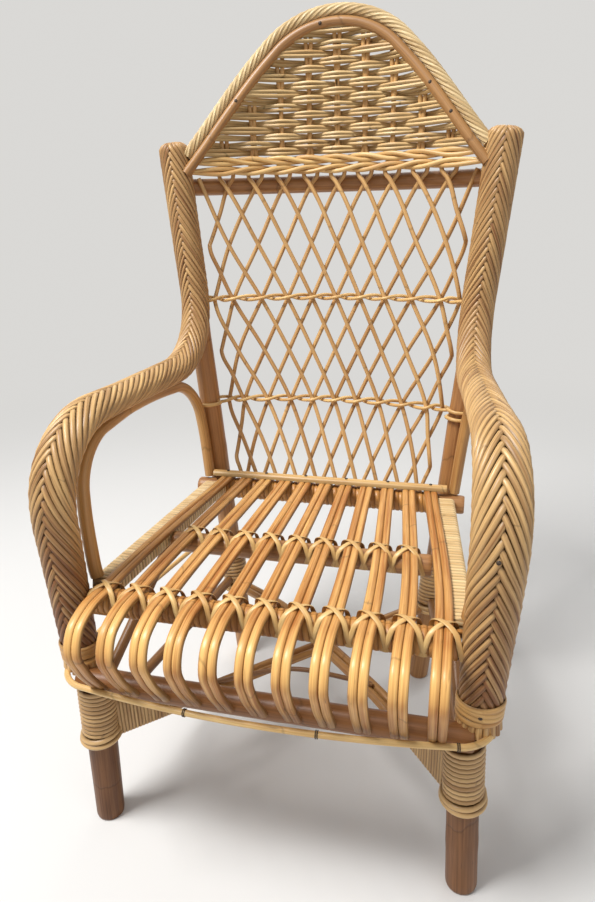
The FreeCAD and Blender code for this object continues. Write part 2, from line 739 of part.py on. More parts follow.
def cross_brace(side, rise):
    """Two canes side by side along a diagonal, lifted by rise where the two diagonals cross."""
    shares = ((0, 0), (BRACE_ARCH_SHARE, rise), (1 - BRACE_ARCH_SHARE, rise), (1, 0))
    corners = [brace_line(side, share, lift) for share, lift in shares]
    across = (corners[-1] - corners[0]).normalize().cross(V(0, 0, 1))
    corners[0] = beside_wrap(corners[0], corners[1], False, BRACE_R, WRAP_RING_BULGE)
    corners[-1] = beside_wrap(corners[-1], corners[-2], True, BRACE_R, WRAP_RING_BULGE)
    if rise:
        corners = rounded_route(corners, [BRACE_ARCH_R, BRACE_ARCH_R], BRACE_ARCH_STEPS)
    pair = []
    for shift in (-1, 1):
        aside = across * (shift * (BRACE_R + FIT / 2))
        path = [corner + aside for corner in corners]
        pair.append(cane(path, polygon(BRACE_R, BRACE_SIDES), V(0, 0, 1)))
    return Part.makeCompound(pair)


def brace_bow():
    """Thin cane arched across the front of the crossing, resting on the two braces."""
    above = math.sqrt((BRACE_R + BRACE_BOW_R + FIT) ** 2 - (BRACE_R + FIT / 2) ** 2)
    left = brace_line(-1, BRACE_BOW_SHARE, above)
    right = brace_line(1, BRACE_BOW_SHARE, above + BRACE_ARCH)
    crown = (left + right) * 0.5 + V(0, 0, BRACE_BOW_RISE)
    route = rounded_route([left, crown, right], [BRACE_BOW_BEND], BRACE_BOW_STEPS)
    return cane(route, polygon(BRACE_BOW_R, CANE_SIDES), V(0, 1, 0))


def side_strut(side):
    """A cane from the wrap of a front leg up to the underside of the seat's side band."""
    foot = on_leg(side, False, STRUT_FOOT_Z)
    front_y, rear_y = side_rail_ends()
    share = (STRUT_TOP_Y - front_y) / (rear_y - front_y)
    x = SIDE_RAIL_FRONT_HALF + (SIDE_RAIL_REAR_HALF - SIDE_RAIL_FRONT_HALF) * share
    head = V(side * x, STRUT_TOP_Y, SIDE_TOP_Z - SIDE_RAIL_THICK - RAIL_WRAP - FIT)
    along = (head - foot).normalize()
    head.z -= STRUT_R * math.hypot(along.x, along.y)
    path = [beside_wrap(foot, head, False, STRUT_R), head]
    return cane(path, polygon(STRUT_R, BRACE_SIDES), V(1, 0, 0))


# Back

def back_y(x, z):
    """Depth of the woven back: bowed behind the posts, and drawn in to the rear rail at the seat."""
    seat_y = REAR_RAIL_Y + RAIL_SLEEVE_R + 2 * FIT + 2 * CANE_R
    levels = [
        (SEAT_RAIL_Z, seat_y, 0.0),
        (ROW_LOWER_Z, post_at(1, ROW_LOWER_Z).y, BACK_BOW * BACK_BOW_LOWER_SHARE),
        (ROW_UPPER_Z, post_at(1, ROW_UPPER_Z).y, BACK_BOW * BACK_BOW_UPPER_SHARE),
        (CROSSBAR_Z, POST_TOP_Y, BACK_BOW),
        (CREST_APEX_Z, POST_TOP_Y, BACK_BOW),
    ]
    half = CREST_SHOULDER_HALF
    for (low_z, low_y, low_bow), (high_z, high_y, high_bow) in zip(levels, levels[1:]):
        if z <= high_z:
            break
    share = (z - low_z) / (high_z - low_z)
    base = low_y + (high_y - low_y) * share
    bow = low_bow + (high_bow - low_bow) * share
    return base + bow * (1 - (x / half) ** 2)


def back_crossbar():
    """A pole behind the canes, bowed like the back, from post to post."""
    half = POST_TOP_HALF - POST_TOP_R - CROSSBAR_END_GAP
    behind = 2 * CANE_R + CROSSBAR_R + 4 * FIT
    path = []
    for k in range(-CROSSBAR_RUNS, CROSSBAR_RUNS + 1):
        x = half * k / CROSSBAR_RUNS
        path.append(V(x, back_y(x, CROSSBAR_Z) + behind, CROSSBAR_Z))
    return cane(path, polygon(CROSSBAR_R, CREST_SIDES), V(0, 0, 1))


def crest_lean():
    """The crest's plane leans back from the posts by the bow of the back: its angle from upright."""
    return math.atan2(BACK_BOW, CREST_APEX_Z - CREST_SHOULDER_Z)


def on_crest(x, rise):
    """Point of the crest's plane, rise being measured up the plane from its shoulders."""
    lean = crest_lean()
    y = POST_TOP_Y + CREST_SETBACK + rise * math.sin(lean)
    return V(x, y, CREST_SHOULDER_Z + rise * math.cos(lean))


def crest_corner(inset):
    """Rise of the sharp corner over the middle, and the bend's radius, of a line inside the outline."""
    flank = math.radians(CREST_FLANK_DEG)
    apex = (CREST_APEX_Z - CREST_SHOULDER_Z) / math.cos(crest_lean())
    sharp = CREST_SHOULDER_HALF * math.tan(flank)
    bend = (sharp - apex) / (1 / math.cos(flank) - 1)
    return sharp - inset / math.cos(flank), bend - inset


def crest_pole(inset, radius):
    """A pole bent along the crest, down to the braided posts on both sides."""
    flank = math.radians(CREST_FLANK_DEG)
    corner, bend = crest_corner(inset)
    foot_x = post_at(1, CREST_SHOULDER_Z - 2 * radius).x - POST_TOP_R - radius * math.sin(flank) - FIT
    foot = corner - foot_x * math.tan(flank)
    points = [on_crest(-foot_x, foot), on_crest(0, corner), on_crest(foot_x, foot)]
    normal = V(0, math.cos(crest_lean()), -math.sin(crest_lean()))
    return cane(rounded_route(points, [bend], CREST_STEPS), polygon(radius, CREST_SIDES), normal)


def crest_roll():
    return crest_pole(ROLL_R, ROLL_R)


def crest_bow():
    return crest_pole(2 * ROLL_R + CREST_BOW_R + FIT, CREST_BOW_R)


def crest_underside(x):
    """Height of the underside of the crest bow above the point x of the panel."""
    flank = math.radians(CREST_FLANK_DEG)
    corner, bend = crest_corner(2 * (ROLL_R + CREST_BOW_R + FIT))
    rise = corner - abs(x) * math.tan(flank)
    if abs(x) < bend * math.sin(flank):
        rise = corner - bend / math.cos(flank) + math.sqrt(bend ** 2 - x ** 2)
    return on_crest(x, rise).z


def lattice_spot(step, level, lean):
    """Point of a lattice cane: step counts cane spacings from the middle, level counts bands down."""
    band = min(int(level), len(LEVELS) - 2)
    share = level - band
    (high_z, high_pitch), (low_z, low_pitch) = LEVELS[band], LEVELS[band + 1]
    z = high_z + (low_z - high_z) * share
    beyond = max(abs(step) - EDGE_STEP + 1, 0)
    spread = math.copysign(abs(step) - beyond * (1 - EDGE_SHARE), step)
    x = spread * (high_pitch + (low_pitch - high_pitch) * share)
    layer = -lean * (CANE_R + FIT)
    return V(x, back_y(x, z) + layer, z)


def lattice_run(step, target, band, first_share, last_share, lean):
    """Points of a lattice cane across part of a band, after its first one."""
    middle = (first_share + last_share) / 2
    return [
        lattice_spot((step + target) / 2, band + middle, lean),
        lattice_spot(target, band + last_share, lean),
    ]


def lattice_cane(first_step, lean):
    """A back cane below the crossbar. It turns back where it meets a post, into the other layer."""
    path = [lattice_spot(first_step, 0, lean)]
    step = first_step
    for band, shift in enumerate(BAND_SHIFTS):
        target = step + lean * shift
        share = 0
        if abs(target) > EDGE_STEP:
            edge = math.copysign(EDGE_STEP, target)
            share = (edge - step) / (target - step)
            if share > 0:
                path += lattice_run(step, edge, band, 0, share, lean)
            path[-1] += V(0, 0, CANE_R)
            path.append(lattice_spot(edge, band + share, -lean) - V(0, 0, CANE_R))
            target = 2 * edge - target
            step = edge
            lean = -lean
        path += lattice_run(step, target, band, share, 1, lean)
        step = target
    return path


def back_cane(first_step, lean):
    path = lattice_cane(first_step, lean)
    if abs(first_step) < EDGE_STEP:
        x = first_step * CROSSBAR_PITCH - lean * (CANE_R + FIT / 2)
        top_z = crest_underside(abs(x) + CANE_R * CANE_TOP_SHARE) - FIT
        shoulder_z = CROSSBAR_Z + CROSSBAR_R
        parted = V(x, path[0].y, CROSSBAR_Z + CROSSBAR_R / 2)
        path = [V(x, back_y(x, top_z), top_z), V(x, back_y(x, shoulder_z), shoulder_z), parted] + path
    else:
        path[0] = path[0] + V(0, 0, CROSSBAR_R)
    return cane(path, polygon(CANE_R, CANE_SIDES), V(1, 0, 0))


def back_canes(lean):
    half = (PANEL_PAIRS - 1) // 2
    steps = list(range(-half, half + 1))
    steps.append(-lean * EDGE_STEP)
    return Part.makeCompound([back_cane(step, lean) for step in steps])


def twine_end(hand, z, post_cover, side):
    """End of a twining strand, at the face of what covers the post."""
    post = post_at(hand, z)
    return V(post.x - hand * (post_cover + 4 * FIT), post.y, z + side * (TWINE_R + FIT))


def twine(level, post_cover):
    """Two strands twisted round each crossing of the lattice in one row, their ends split at the posts."""
    half_turn = CANE_R * 2 + TWINE_R + 2 * FIT
    z = LEVELS[level][0]
    strands = []
    for start in (-1, 1):
        path = [twine_end(-1, z, post_cover, start)]
        side = start
        for k in range(-2 * EDGE_STEP, 2 * EDGE_STEP + 1):
            spot = lattice_spot(k / 2, level, 0)
            if k % 2 == 0:
                path.append(spot + V(0, side * half_turn, 0))
                side = -side
            else:
                path.append(spot + V(0, 0, side * (TWINE_R + FIT)))
        path.append(twine_end(1, z, post_cover, side))
        strands.append(cane(path, polygon(TWINE_R, TWINE_SIDES), V(0, 0, 1)))
    return Part.makeCompound(strands)


def panel_limit(z):
    """Half the width of the woven panel at a height: to the crest bow, or past the last stakes."""
    limit = ((PANEL_PAIRS - 1) // 2 + PANEL_OVERHANG) * CROSSBAR_PITCH
    while limit > CROSSBAR_PITCH / 2 and crest_underside(limit) < z + 2 * WEAVER_R:
        limit -= 1
    return limit


def panel_path(z, limit, pattern, depth, end_side=0):
    """Path of one strand past the panel's stake pairs: pattern gives the side at each pair."""
    half = (PANEL_PAIRS - 1) // 2
    numbers = range(-half, half + 1)
    inner = [number for number in numbers if abs(number) * CROSSBAR_PITCH < limit - 2 * CANE_R]
    spots = [(number * CROSSBAR_PITCH, pattern(number)) for number in inner]
    first = (-limit, end_side or pattern(inner[0]))
    last = (limit, end_side or pattern(inner[-1]))
    spots = [first] + spots + [last]
    return [V(x, back_y(x, z) + side * depth, z) for x, side in spots]


def back_weavers():
    """Plain weave: two strands a row, in front of and behind the stake pairs by turns."""
    depth = CANE_R + WEAVER_R + 5 * FIT
    first_z = wale_z() + 3 * WALE_R + WEAVER_ROW
    rows = int((crest_underside(0) - WEAVER_ROW - first_z) / WEAVER_ROW)
    section = polygon(WEAVER_R, WEAVER_SIDES)
    strands = []
    for row in range(rows):
        for strand in (0, 1):
            z = first_z + (row + strand / 2) * WEAVER_ROW
            path = panel_path(z, panel_limit(z), lambda number: 1 if (number + row) % 2 else -1, depth)
            strands.append(cane(path, section, V(0, 0, 1)))
    return Part.makeCompound(strands)


def wale_z():
    return CROSSBAR_Z + CROSSBAR_R + 3 * WALE_R + 2 * FIT


def back_wale():
    """Three strands from post to post at the panel's foot, each before two pairs and behind one."""
    depth = CANE_R + WALE_R + 6 * FIT
    strands = []
    for level in (-1, 0, 1):
        z = wale_z() + level * (2 * WALE_R + FIT)
        limit = post_at(1, z).x - POST_TOP_R - WALE_R - FIT
        path = panel_path(z, limit, lambda number: 1 if (number + level) % 3 == 0 else -1, depth, 1)
        strands.append(cane(path, polygon(WALE_R, WALE_SIDES), V(0, 0, 1)))
    return Part.makeCompound(strands)


def chair_parts():
    parts = {}
    for name, side in (("left", -1), ("right", 1)):
        parts["front_leg_" + name] = front_leg(side)
        parts["back_post_" + name] = back_post(side)
        parts["arm_core_" + name] = arm_core(side)
        parts["arm_braid_" + name] = arm_braid(side)
        parts["arm_band_" + name] = arm_band(side)
        parts["arm_support_" + name] = arm_support(side)
        parts["seat_side_rail_" + name] = seat_side_rail(side)
        parts["seat_side_wrap_" + name] = seat_side_wrap(side)
        parts["front_leg_wrap_" + name] = leg_wrap(side, False)
        parts["back_leg_wrap_" + name] = leg_wrap(side, True)
        parts["side_stretcher_" + name] = side_stretcher(side)
        parts["side_strut_" + name] = side_strut(side)
    parts["cross_brace_lower"] = cross_brace(-1, 0)
    parts["cross_brace_upper"] = cross_brace(1, BRACE_ARCH)
    parts["brace_bow"] = brace_bow()
    parts["front_lower_rail"] = lower_rail()
    parts["base_hoop"] = base_hoop()
    parts["seat_front_rail"] = seat_front_rail()
    parts["seat_mid_rail"] = seat_mid_rail()
    parts["seat_rear_rail"] = seat_rear_rail()
    parts["seat_front_wrap"] = rail_sleeve(front_rail_half(), FRONT_RAIL_Y)
    parts["seat_rear_wrap"] = rail_sleeve(post_at(1, SEAT_RAIL_Z).x - POST_R - 2 * FIT, REAR_RAIL_Y)
    for number in range(1, SLAT_PAIRS + 1):
        parts["seat_slat_%02d" % number] = slat_pair(number)
    parts["seat_rear_batten"] = rear_batten()
    parts["seat_front_lashing"] = lashing(FRONT_RAIL_Y, 1, SLAT_PAIRS)
    parts["seat_mid_lashing"] = lashing(MID_RAIL_Y, 2, SLAT_PAIRS - 1)
    parts["back_crossbar"] = back_crossbar()
    parts["back_canes_front"] = back_canes(1)
    parts["back_canes_rear"] = back_canes(-1)
    parts["lattice_twine_upper"] = twine(1, POST_TOP_R)
    parts["lattice_twine_lower"] = twine(2, POST_R)
    parts["back_wale"] = back_wale()
    parts["back_weavers"] = back_weavers()
    parts["crest_bow"] = crest_bow()
    parts["crest_roll"] = crest_roll()
    return parts


def main():
    os.makedirs("parts", exist_ok=True)
    parts = chair_parts()
    low = min(shape.BoundBox.YMin for shape in parts.values())
    high = max(shape.BoundBox.YMax for shape in parts.values())
    for name, shape in parts.items():
        shape.translate(V(0, -(low + high) / 2, 0))
        shape.exportStep("parts/" + name + ".step")


main()
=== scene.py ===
import json
import math

import bpy
import numpy as np
from mathutils import Matrix, Vector


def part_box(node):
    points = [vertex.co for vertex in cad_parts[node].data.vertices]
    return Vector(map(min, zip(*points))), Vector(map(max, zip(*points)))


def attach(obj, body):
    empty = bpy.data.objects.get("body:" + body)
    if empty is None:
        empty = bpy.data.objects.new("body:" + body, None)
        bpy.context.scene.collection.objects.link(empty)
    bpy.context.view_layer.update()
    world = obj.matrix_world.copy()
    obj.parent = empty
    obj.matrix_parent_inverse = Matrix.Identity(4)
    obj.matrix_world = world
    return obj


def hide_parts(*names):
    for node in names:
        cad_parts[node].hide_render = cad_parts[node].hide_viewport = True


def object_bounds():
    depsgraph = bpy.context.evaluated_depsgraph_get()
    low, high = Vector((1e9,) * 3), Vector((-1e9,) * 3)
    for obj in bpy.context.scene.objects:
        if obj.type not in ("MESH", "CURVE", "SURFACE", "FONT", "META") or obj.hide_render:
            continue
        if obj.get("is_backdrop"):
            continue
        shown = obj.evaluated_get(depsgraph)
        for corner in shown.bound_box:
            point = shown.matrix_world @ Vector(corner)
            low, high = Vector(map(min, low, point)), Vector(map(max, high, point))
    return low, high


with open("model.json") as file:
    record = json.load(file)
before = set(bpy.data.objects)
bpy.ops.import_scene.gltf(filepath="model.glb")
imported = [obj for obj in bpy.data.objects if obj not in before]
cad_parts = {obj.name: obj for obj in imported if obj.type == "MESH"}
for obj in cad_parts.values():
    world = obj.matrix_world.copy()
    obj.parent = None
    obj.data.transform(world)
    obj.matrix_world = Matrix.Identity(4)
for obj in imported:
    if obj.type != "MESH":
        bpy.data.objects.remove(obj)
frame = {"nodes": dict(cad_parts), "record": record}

cad_low, cad_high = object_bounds()


# Front legs and back posts
# Peeled and varnished rattan poles with a low swelling and a dark scar at each joint of the stem. The front
# legs are stained red-brown, with painted shade in that finish, and saddled on the lower rail; the golden posts run
# from the floor into the arms.

def fill(node, values):
    """Values for some of a node's inputs."""
    for socket, value in values.items():
        node.inputs[socket].default_value = value
    return node


def new_node(nodes, kind, values=None, operation=None):
    """A shader node with its operation and its values, where it has them."""
    node = nodes.new("ShaderNode" + kind)
    if operation:
        node.operation = operation
    return fill(node, values or {})


def cane_skin_group():
    """Varnished cane: fibres along the stem, blotches, dark joint rings and flecks, painted shade in the crevices,
    at the seams and toward the slat feet (there with dirt), and a painted highlight where the piece marks one.
    """
    group = bpy.data.node_groups.new("cane_skin", "ShaderNodeTree")
    for way, name, kind in (
        ("INPUT", "Pale", "Color"),
        ("INPUT", "Deep", "Color"),
        ("INPUT", "Joint gap", "Float"),
        ("INPUT", "Crevice", "Float"),
        ("OUTPUT", "Color", "Color"),
        ("OUTPUT", "Roughness", "Float"),
        ("OUTPUT", "Height", "Float"),
    ):
        group.interface.new_socket(name=name, in_out=way, socket_type="NodeSocket" + kind)
    nodes, links = group.nodes, group.links
    given = nodes.new("NodeGroupInput").outputs
    result = nodes.new("NodeGroupOutput").inputs

    def attribute(name, kind):
        node = new_node(nodes, "Attribute")
        node.attribute_name = name
        return node.outputs[kind]

    def maths(operation, *values, kind="Math"):
        node = new_node(nodes, kind, operation=operation)
        for socket, value in zip(node.inputs, values):
            if isinstance(value, (int, float, tuple)):
                socket.default_value = value
            else:
                links.new(value, socket)
        return node.outputs[0]

    def noise(scale, detail):
        texture = new_node(nodes, "TexNoise", {"Scale": 1.0, "Detail": detail})
        links.new(maths("MULTIPLY", stem, scale, kind="VectorMath"), texture.inputs["Vector"])
        return texture.outputs["Fac"]

    def blend(share, first, second):
        node = new_node(nodes, "Mix")
        node.data_type = "RGBA"
        links.new(share, node.inputs[0])
        links.new(first, node.inputs[6])
        links.new(second, node.inputs[7])
        return node.outputs[2]

    lay = attribute("lay", "Vector")
    tone, crest, wear = (attribute(name, "Fac") for name in ("tone", "crest", "wear"))
    stem = maths("MULTIPLY_ADD", tone, (3.7, 1.1, 2.3), lay, kind="VectorMath")
    fibre = noise((16, 1100, 1100), 3)
    streak = noise((9, 420, 420), 2)
    blotch = noise((14, 40, 40), 2)
    light = -1.20
    # The last term paints a highlight: it lightens the colour on the tops of the slat noses, where they face up and
    # forward.
    for source, share in ((tone, 0.42), (fibre, 0.9), (streak, 1.5), (blotch, 0.75), (wear, 0.55)):
        light = maths("MULTIPLY_ADD", source, share, light)
    light = maths("MINIMUM", maths("MAXIMUM", light, 0.0), 1.0)
    axis = new_node(nodes, "SeparateXYZ")
    links.new(lay, axis.inputs[0])
    counted = maths("DIVIDE", axis.outputs[0], given["Joint gap"])
    counted = maths("MULTIPLY_ADD", tone, 5.3, counted)
    counted = maths("MULTIPLY_ADD", blotch, 0.25, counted)
    away = maths("ABSOLUTE", maths("SUBTRACT", maths("FRACT", counted), 0.5))
    metres = maths("MULTIPLY", away, given["Joint gap"])
    joint = maths("MAXIMUM", maths("MULTIPLY_ADD", metres, -450.0, 1.0), 0.0)
    # Painted shade: the colour darkens where the crest attribute is low, in crevices and under strands, at the
    # braid seams and toward the slat feet (there with dirt); the joint rings and flecks are the cane's own marks.
    low = maths("POWER", maths("SUBTRACT", 1.0, crest), 1.15)
    painted_shade_and_marks = maths("MULTIPLY", low, given["Crevice"])
    painted_shade_and_marks = maths("MULTIPLY_ADD", joint, 0.34, painted_shade_and_marks)
    fleck = maths("MAXIMUM", maths("MULTIPLY_ADD", noise((70, 520, 520), 1), 7.0, -4.9), 0.0)
    painted_shade_and_marks = maths("MINIMUM", maths("MULTIPLY_ADD", fleck, 0.5, painted_shade_and_marks), 1.0)
    dark = maths("MULTIPLY", given["Deep"], (0.13, 0.13, 0.13), kind="VectorMath")
    colour = blend(painted_shade_and_marks, blend(light, given["Deep"], given["Pale"]), dark)
    links.new(colour, result["Color"])
    links.new(maths("MULTIPLY_ADD", light, -0.14, 0.50), result["Roughness"])
    height = maths("MULTIPLY_ADD", streak, 0.8, fibre)
    links.new(maths("MULTIPLY_ADD", joint, -1.2, height), result["Height"])
    return group


cane_skin = cane_skin_group()


def new_material(name):
    material = bpy.data.materials.new(name)
    material.use_nodes = True
    return material, material.node_tree.nodes, material.node_tree.links


def cane_finish(name, pale, deep, joint_gap=0.19, crevice=0.0, relief=0.25, coat=0.06, shine=0.45):
    """A varnished finish of its own colours for one kind of cane."""
    material, nodes, links = new_material(name)
    gloss = {"Specular IOR Level": shine, "Coat Weight": coat, "Coat Roughness": 0.25}
    shader = fill(nodes["Principled BSDF"], gloss)
    skin = new_node(nodes, "Group")
    skin.node_tree = cane_skin
    fill(skin, {"Pale": (*pale, 1), "Deep": (*deep, 1), "Joint gap": joint_gap, "Crevice": crevice})
    bump = new_node(nodes, "Bump", {"Strength": relief, "Distance": 0.0004})
    links.new(skin.outputs["Color"], shader.inputs["Base Color"])
    links.new(skin.outputs["Roughness"], shader.inputs["Roughness"])
    links.new(skin.outputs["Height"], bump.inputs["Height"])
    links.new(bump.outputs["Normal"], shader.inputs["Normal"])
    return material


def round_section(radius, sides):
    """Corners of a round cane's section."""
    angles = [2 * math.pi * k / sides for k in range(sides)]
    return [(radius * math.cos(a), radius * math.sin(a)) for a in angles]


def unit(vectors):
    return vectors / np.linalg.norm(vectors, axis=-1, keepdims=True)


def lengths(line):
    """Distance along a line at each of its points."""
    return np.concatenate([[0], np.cumsum(np.linalg.norm(np.diff(line, axis=0), axis=1))])


class Bundle:
    """Canes swept along their lines and gathered in one mesh, each cane with a tone of its own."""

    def __init__(self, seed):
        self.chance = np.random.RandomState(seed)
        self.points, self.faces, self.lay, self.tone, self.crest, self.wear = [], [], [], [], [], []
        self.count = 0

    def sweep(self, line, section, up=None, swell=None, loop=False, tone=None, shaded=False, dim=None, wear=None):
        """One cane along a line. The section's points lie across and up; its swell, its painted shade (with dirt at
        the slat feet) and its painted highlight change along it.
        """
        line = np.asarray(line, float)
        number, corners = len(line), len(section)
        along = unit(np.roll(line, -1, axis=0) - np.roll(line, 1, axis=0) if loop else np.gradient(line, axis=0))
        if up is None:
            guide = np.eye(3)[np.argmin(np.abs(along[0]))]
            lifts = []
            for direction in along:
                guide = unit(guide - direction * guide.dot(direction))
                lifts.append(guide)
            lift = np.array(lifts)
        else:
            lift = np.broadcast_to(np.asarray(up, float), line.shape)
            lift = unit(lift - along * np.sum(lift * along, axis=1)[:, None])
        across = np.cross(along, lift)
        size = np.ones(number) if swell is None else np.asarray(swell, float)
        section = np.array(section, float)
        wide = section[None, :, 0] * size[:, None]
        high = section[None, :, 1] * size[:, None]
        rings = line[:, None] + across[:, None] * wide[..., None] + lift[:, None] * high[..., None]
        lay = np.stack([np.broadcast_to(lengths(line)[:, None], wide.shape), wide, high], axis=2)
        # Painted shade: in a shaded section the crest runs from 1 on top to 0 on the lower flanks, and the colour
        # is darkened where it is low.
        height = (section[:, 1] - section[:, 1].min()) / np.ptp(section[:, 1])
        crest = np.clip(height * 1.5 - 0.5, 0, 1) if shaded else np.ones(corners)
        index = self.count + np.arange(number * corners).reshape(number, corners)
        for low, above in zip(index, np.roll(index, -1, axis=0) if loop else index[1:]):
            ahead, above_ahead = np.roll(low, -1), np.roll(above, -1)
            self.faces += np.stack([low, above, above_ahead, ahead], axis=1).tolist()
        if not loop:
            self.faces.append(index[0].tolist())
            self.faces.append(index[-1][::-1].tolist())
        self.points.append(rings.reshape(-1, 3))
        self.lay.append(lay.reshape(-1, 3))
        # Painted shade along the cane: these values lower the crest, at the braid seams and, with dirt, at the slat
        # feet.
        bright = np.ones(number) if dim is None else 1 - np.asarray(dim, float)
        self.crest.append(np.outer(bright, crest).ravel())
        self.wear.append(np.repeat(np.zeros(number) if wear is None else wear, corners))
        own = self.chance.rand() if tone is None else tone
        self.tone.append(np.full(number * corners, own))
        self.count += number * corners

    def make(self, name, material, slot, *nodes):
        """The finished piece, standing for its CAD nodes."""
        mesh = bpy.data.meshes.new(name)
        mesh.from_pydata(np.concatenate(self.points).tolist(), [], self.faces)
        # The crest attribute carries the painted shade and the last attribute the painted highlight.
        for label, kind, values in (
            ("lay", "FLOAT_VECTOR", self.lay),
            ("tone", "FLOAT", self.tone),
            ("crest", "FLOAT", self.crest),
            ("wear", "FLOAT", self.wear),
        ):
            field = mesh.attributes.new(label, kind, "POINT")
            field.data.foreach_set("vector" if kind == "FLOAT_VECTOR" else "value", np.concatenate(values).ravel())
        mesh.materials.append(material)
        mesh.shade_smooth()
        mesh.set_sharp_from_angle(angle=math.radians(50))
        piece = bpy.data.objects.new(name, mesh)
        bpy.context.collection.objects.link(piece)
        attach(piece, "root")
        if nodes:
            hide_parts(*nodes)


POLE_SIDES = 24
POLE_JOINT = 0.16
JOINT_SWELL = 0.035
STEM_WAVE = 0.012


def pole(bundle, start, end, radius, sides=POLE_SIDES):
    """A straight stem with low swellings at its joints and softened ends."""
    start, end = np.array(start, float), np.array(end, float)
    length = np.linalg.norm(end - start)
    ends = [0, 0.0012, 0.004]
    inner = np.linspace(0.012, length - 0.012, max(2, int(length / 0.01)))
    reach = np.concatenate([ends, inner, length - np.array(ends[::-1])])
    line = start + (end - start) * (reach / length)[:, None]
    phase = bundle.chance.rand() * POLE_JOINT
    near = np.abs((reach + phase) % POLE_JOINT - POLE_JOINT / 2)
    swell = 1 + JOINT_SWELL * np.exp(-((near / 0.008) ** 2)) + STEM_WAVE * np.sin(reach * 31 + phase * 90)
    swell[[0, -1]] *= 0.88
    swell[[1, -2]] *= 0.965
    bundle.sweep(line, round_section(radius, sides), swell=swell)


feet = {mount["name"]: Vector(mount["pos_m"]) for mount in frame["record"]["mounts"]}
LEG_RADIUS = 0.0145
LEG_RAKE = 0.008
RAIL_HEIGHT = 0.184
POST_RADIUS = 0.01275
POST_SPREAD = 0.0615
POST_RAKE = 0.033
POST_HEIGHT = 0.662
SIDES = (("left", -1), ("right", 1))
# The legs' finish is darker than the posts': red-brown stain, with painted shade.
stain_and_shade_pole_finish = cane_finish("stained_pole", (0.25, 0.105, 0.034), (0.10, 0.035, 0.010), joint_gap=0.17, shine=0.3)
post_finish = cane_finish("golden_pole", (0.46, 0.225, 0.080), (0.21, 0.085, 0.026), joint_gap=0.17)


def on_leg(side, height):
    foot = feet["foot_front_left" if side < 0 else "foot_front_right"]
    return foot + Vector((-side * LEG_RAKE * height / RAIL_HEIGHT, 0, height))


def on_post(side, height):
    foot = feet["foot_back_left" if side < 0 else "foot_back_right"]
    share = height / POST_HEIGHT
    return foot + Vector((side * POST_SPREAD * share, POST_RAKE * share, height))


for name, side in SIDES:
    leg = Bundle(11 + side)
    pole(leg, on_leg(side, 0.0), on_leg(side, RAIL_HEIGHT - 0.006), LEG_RADIUS)
    post = Bundle(21 + side)
    pole(post, on_post(side, 0.0), on_post(side, POST_HEIGHT), POST_RADIUS)
    for cut in (leg.points[0], post.points[0]):
        cut[:POLE_SIDES, 2] = 0
        cut[:, 2] = cut[:, 2].clip(0)
    leg.make("leg_front_" + name, stain_and_shade_pole_finish, "pole", "front_leg_" + name)
    post.make("post_back_" + name, post_finish, "pole", "back_post_" + name)


# Lower front rail
# A stained pole nailed on the two front legs; the arms stand on it and the slats end before it.

def box_axis(node):
    """Both ends and the radius of a straight pole across the chair, from its CAD box."""
    low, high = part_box(node)
    middle = (low + high) / 2
    return (low.x, middle.y, middle.z), (high.x, middle.y, middle.z), (high.z - low.z) / 2


rail = Bundle(31)
pole(rail, *box_axis("front_lower_rail"))
# The rail shares the legs' finish: red-brown stain, with painted shade.
rail.make("rail_lower_front", stain_and_shade_pole_finish, "pole", "front_lower_rail")


# Base hoop, stretchers, struts and braces
# Single canes bent green: the hoop runs round the front and sides outside the slat ends, the stretchers,
# struts and crossed braces stiffen the legs, and a thin bow is sprung before the crossing.

def bend_through(points, step):
    """A springy line through the points, as a cane bends, divided about every step metres."""
    points = np.array([tuple(p) for p in points], float)
    gaps = np.linalg.norm(np.diff(points, axis=0), axis=1)
    slopes = np.diff(points, axis=0) / gaps[:, None]
    pull = np.vstack([slopes[:1], slopes[-1:]])
    if len(points) > 2:
        before, after = gaps[:-1, None], gaps[1:, None]
        middle = (slopes[:-1] * after + slopes[1:] * before) / (before + after)
        pull = np.vstack([slopes[:1], middle, slopes[-1:]])
    line = [points[0]]
    for k, gap in enumerate(gaps):
        count = max(1, math.ceil(gap / step))
        for t in np.arange(1, count + 1) / count:
            near = (2 * t ** 3 - 3 * t ** 2 + 1) * points[k] + (t ** 3 - 2 * t ** 2 + t) * gap * pull[k]
            far = (3 * t ** 2 - 2 * t ** 3) * points[k + 1] + (t ** 3 - t ** 2) * gap * pull[k + 1]
            line.append(near + far)
    return np.array(line)


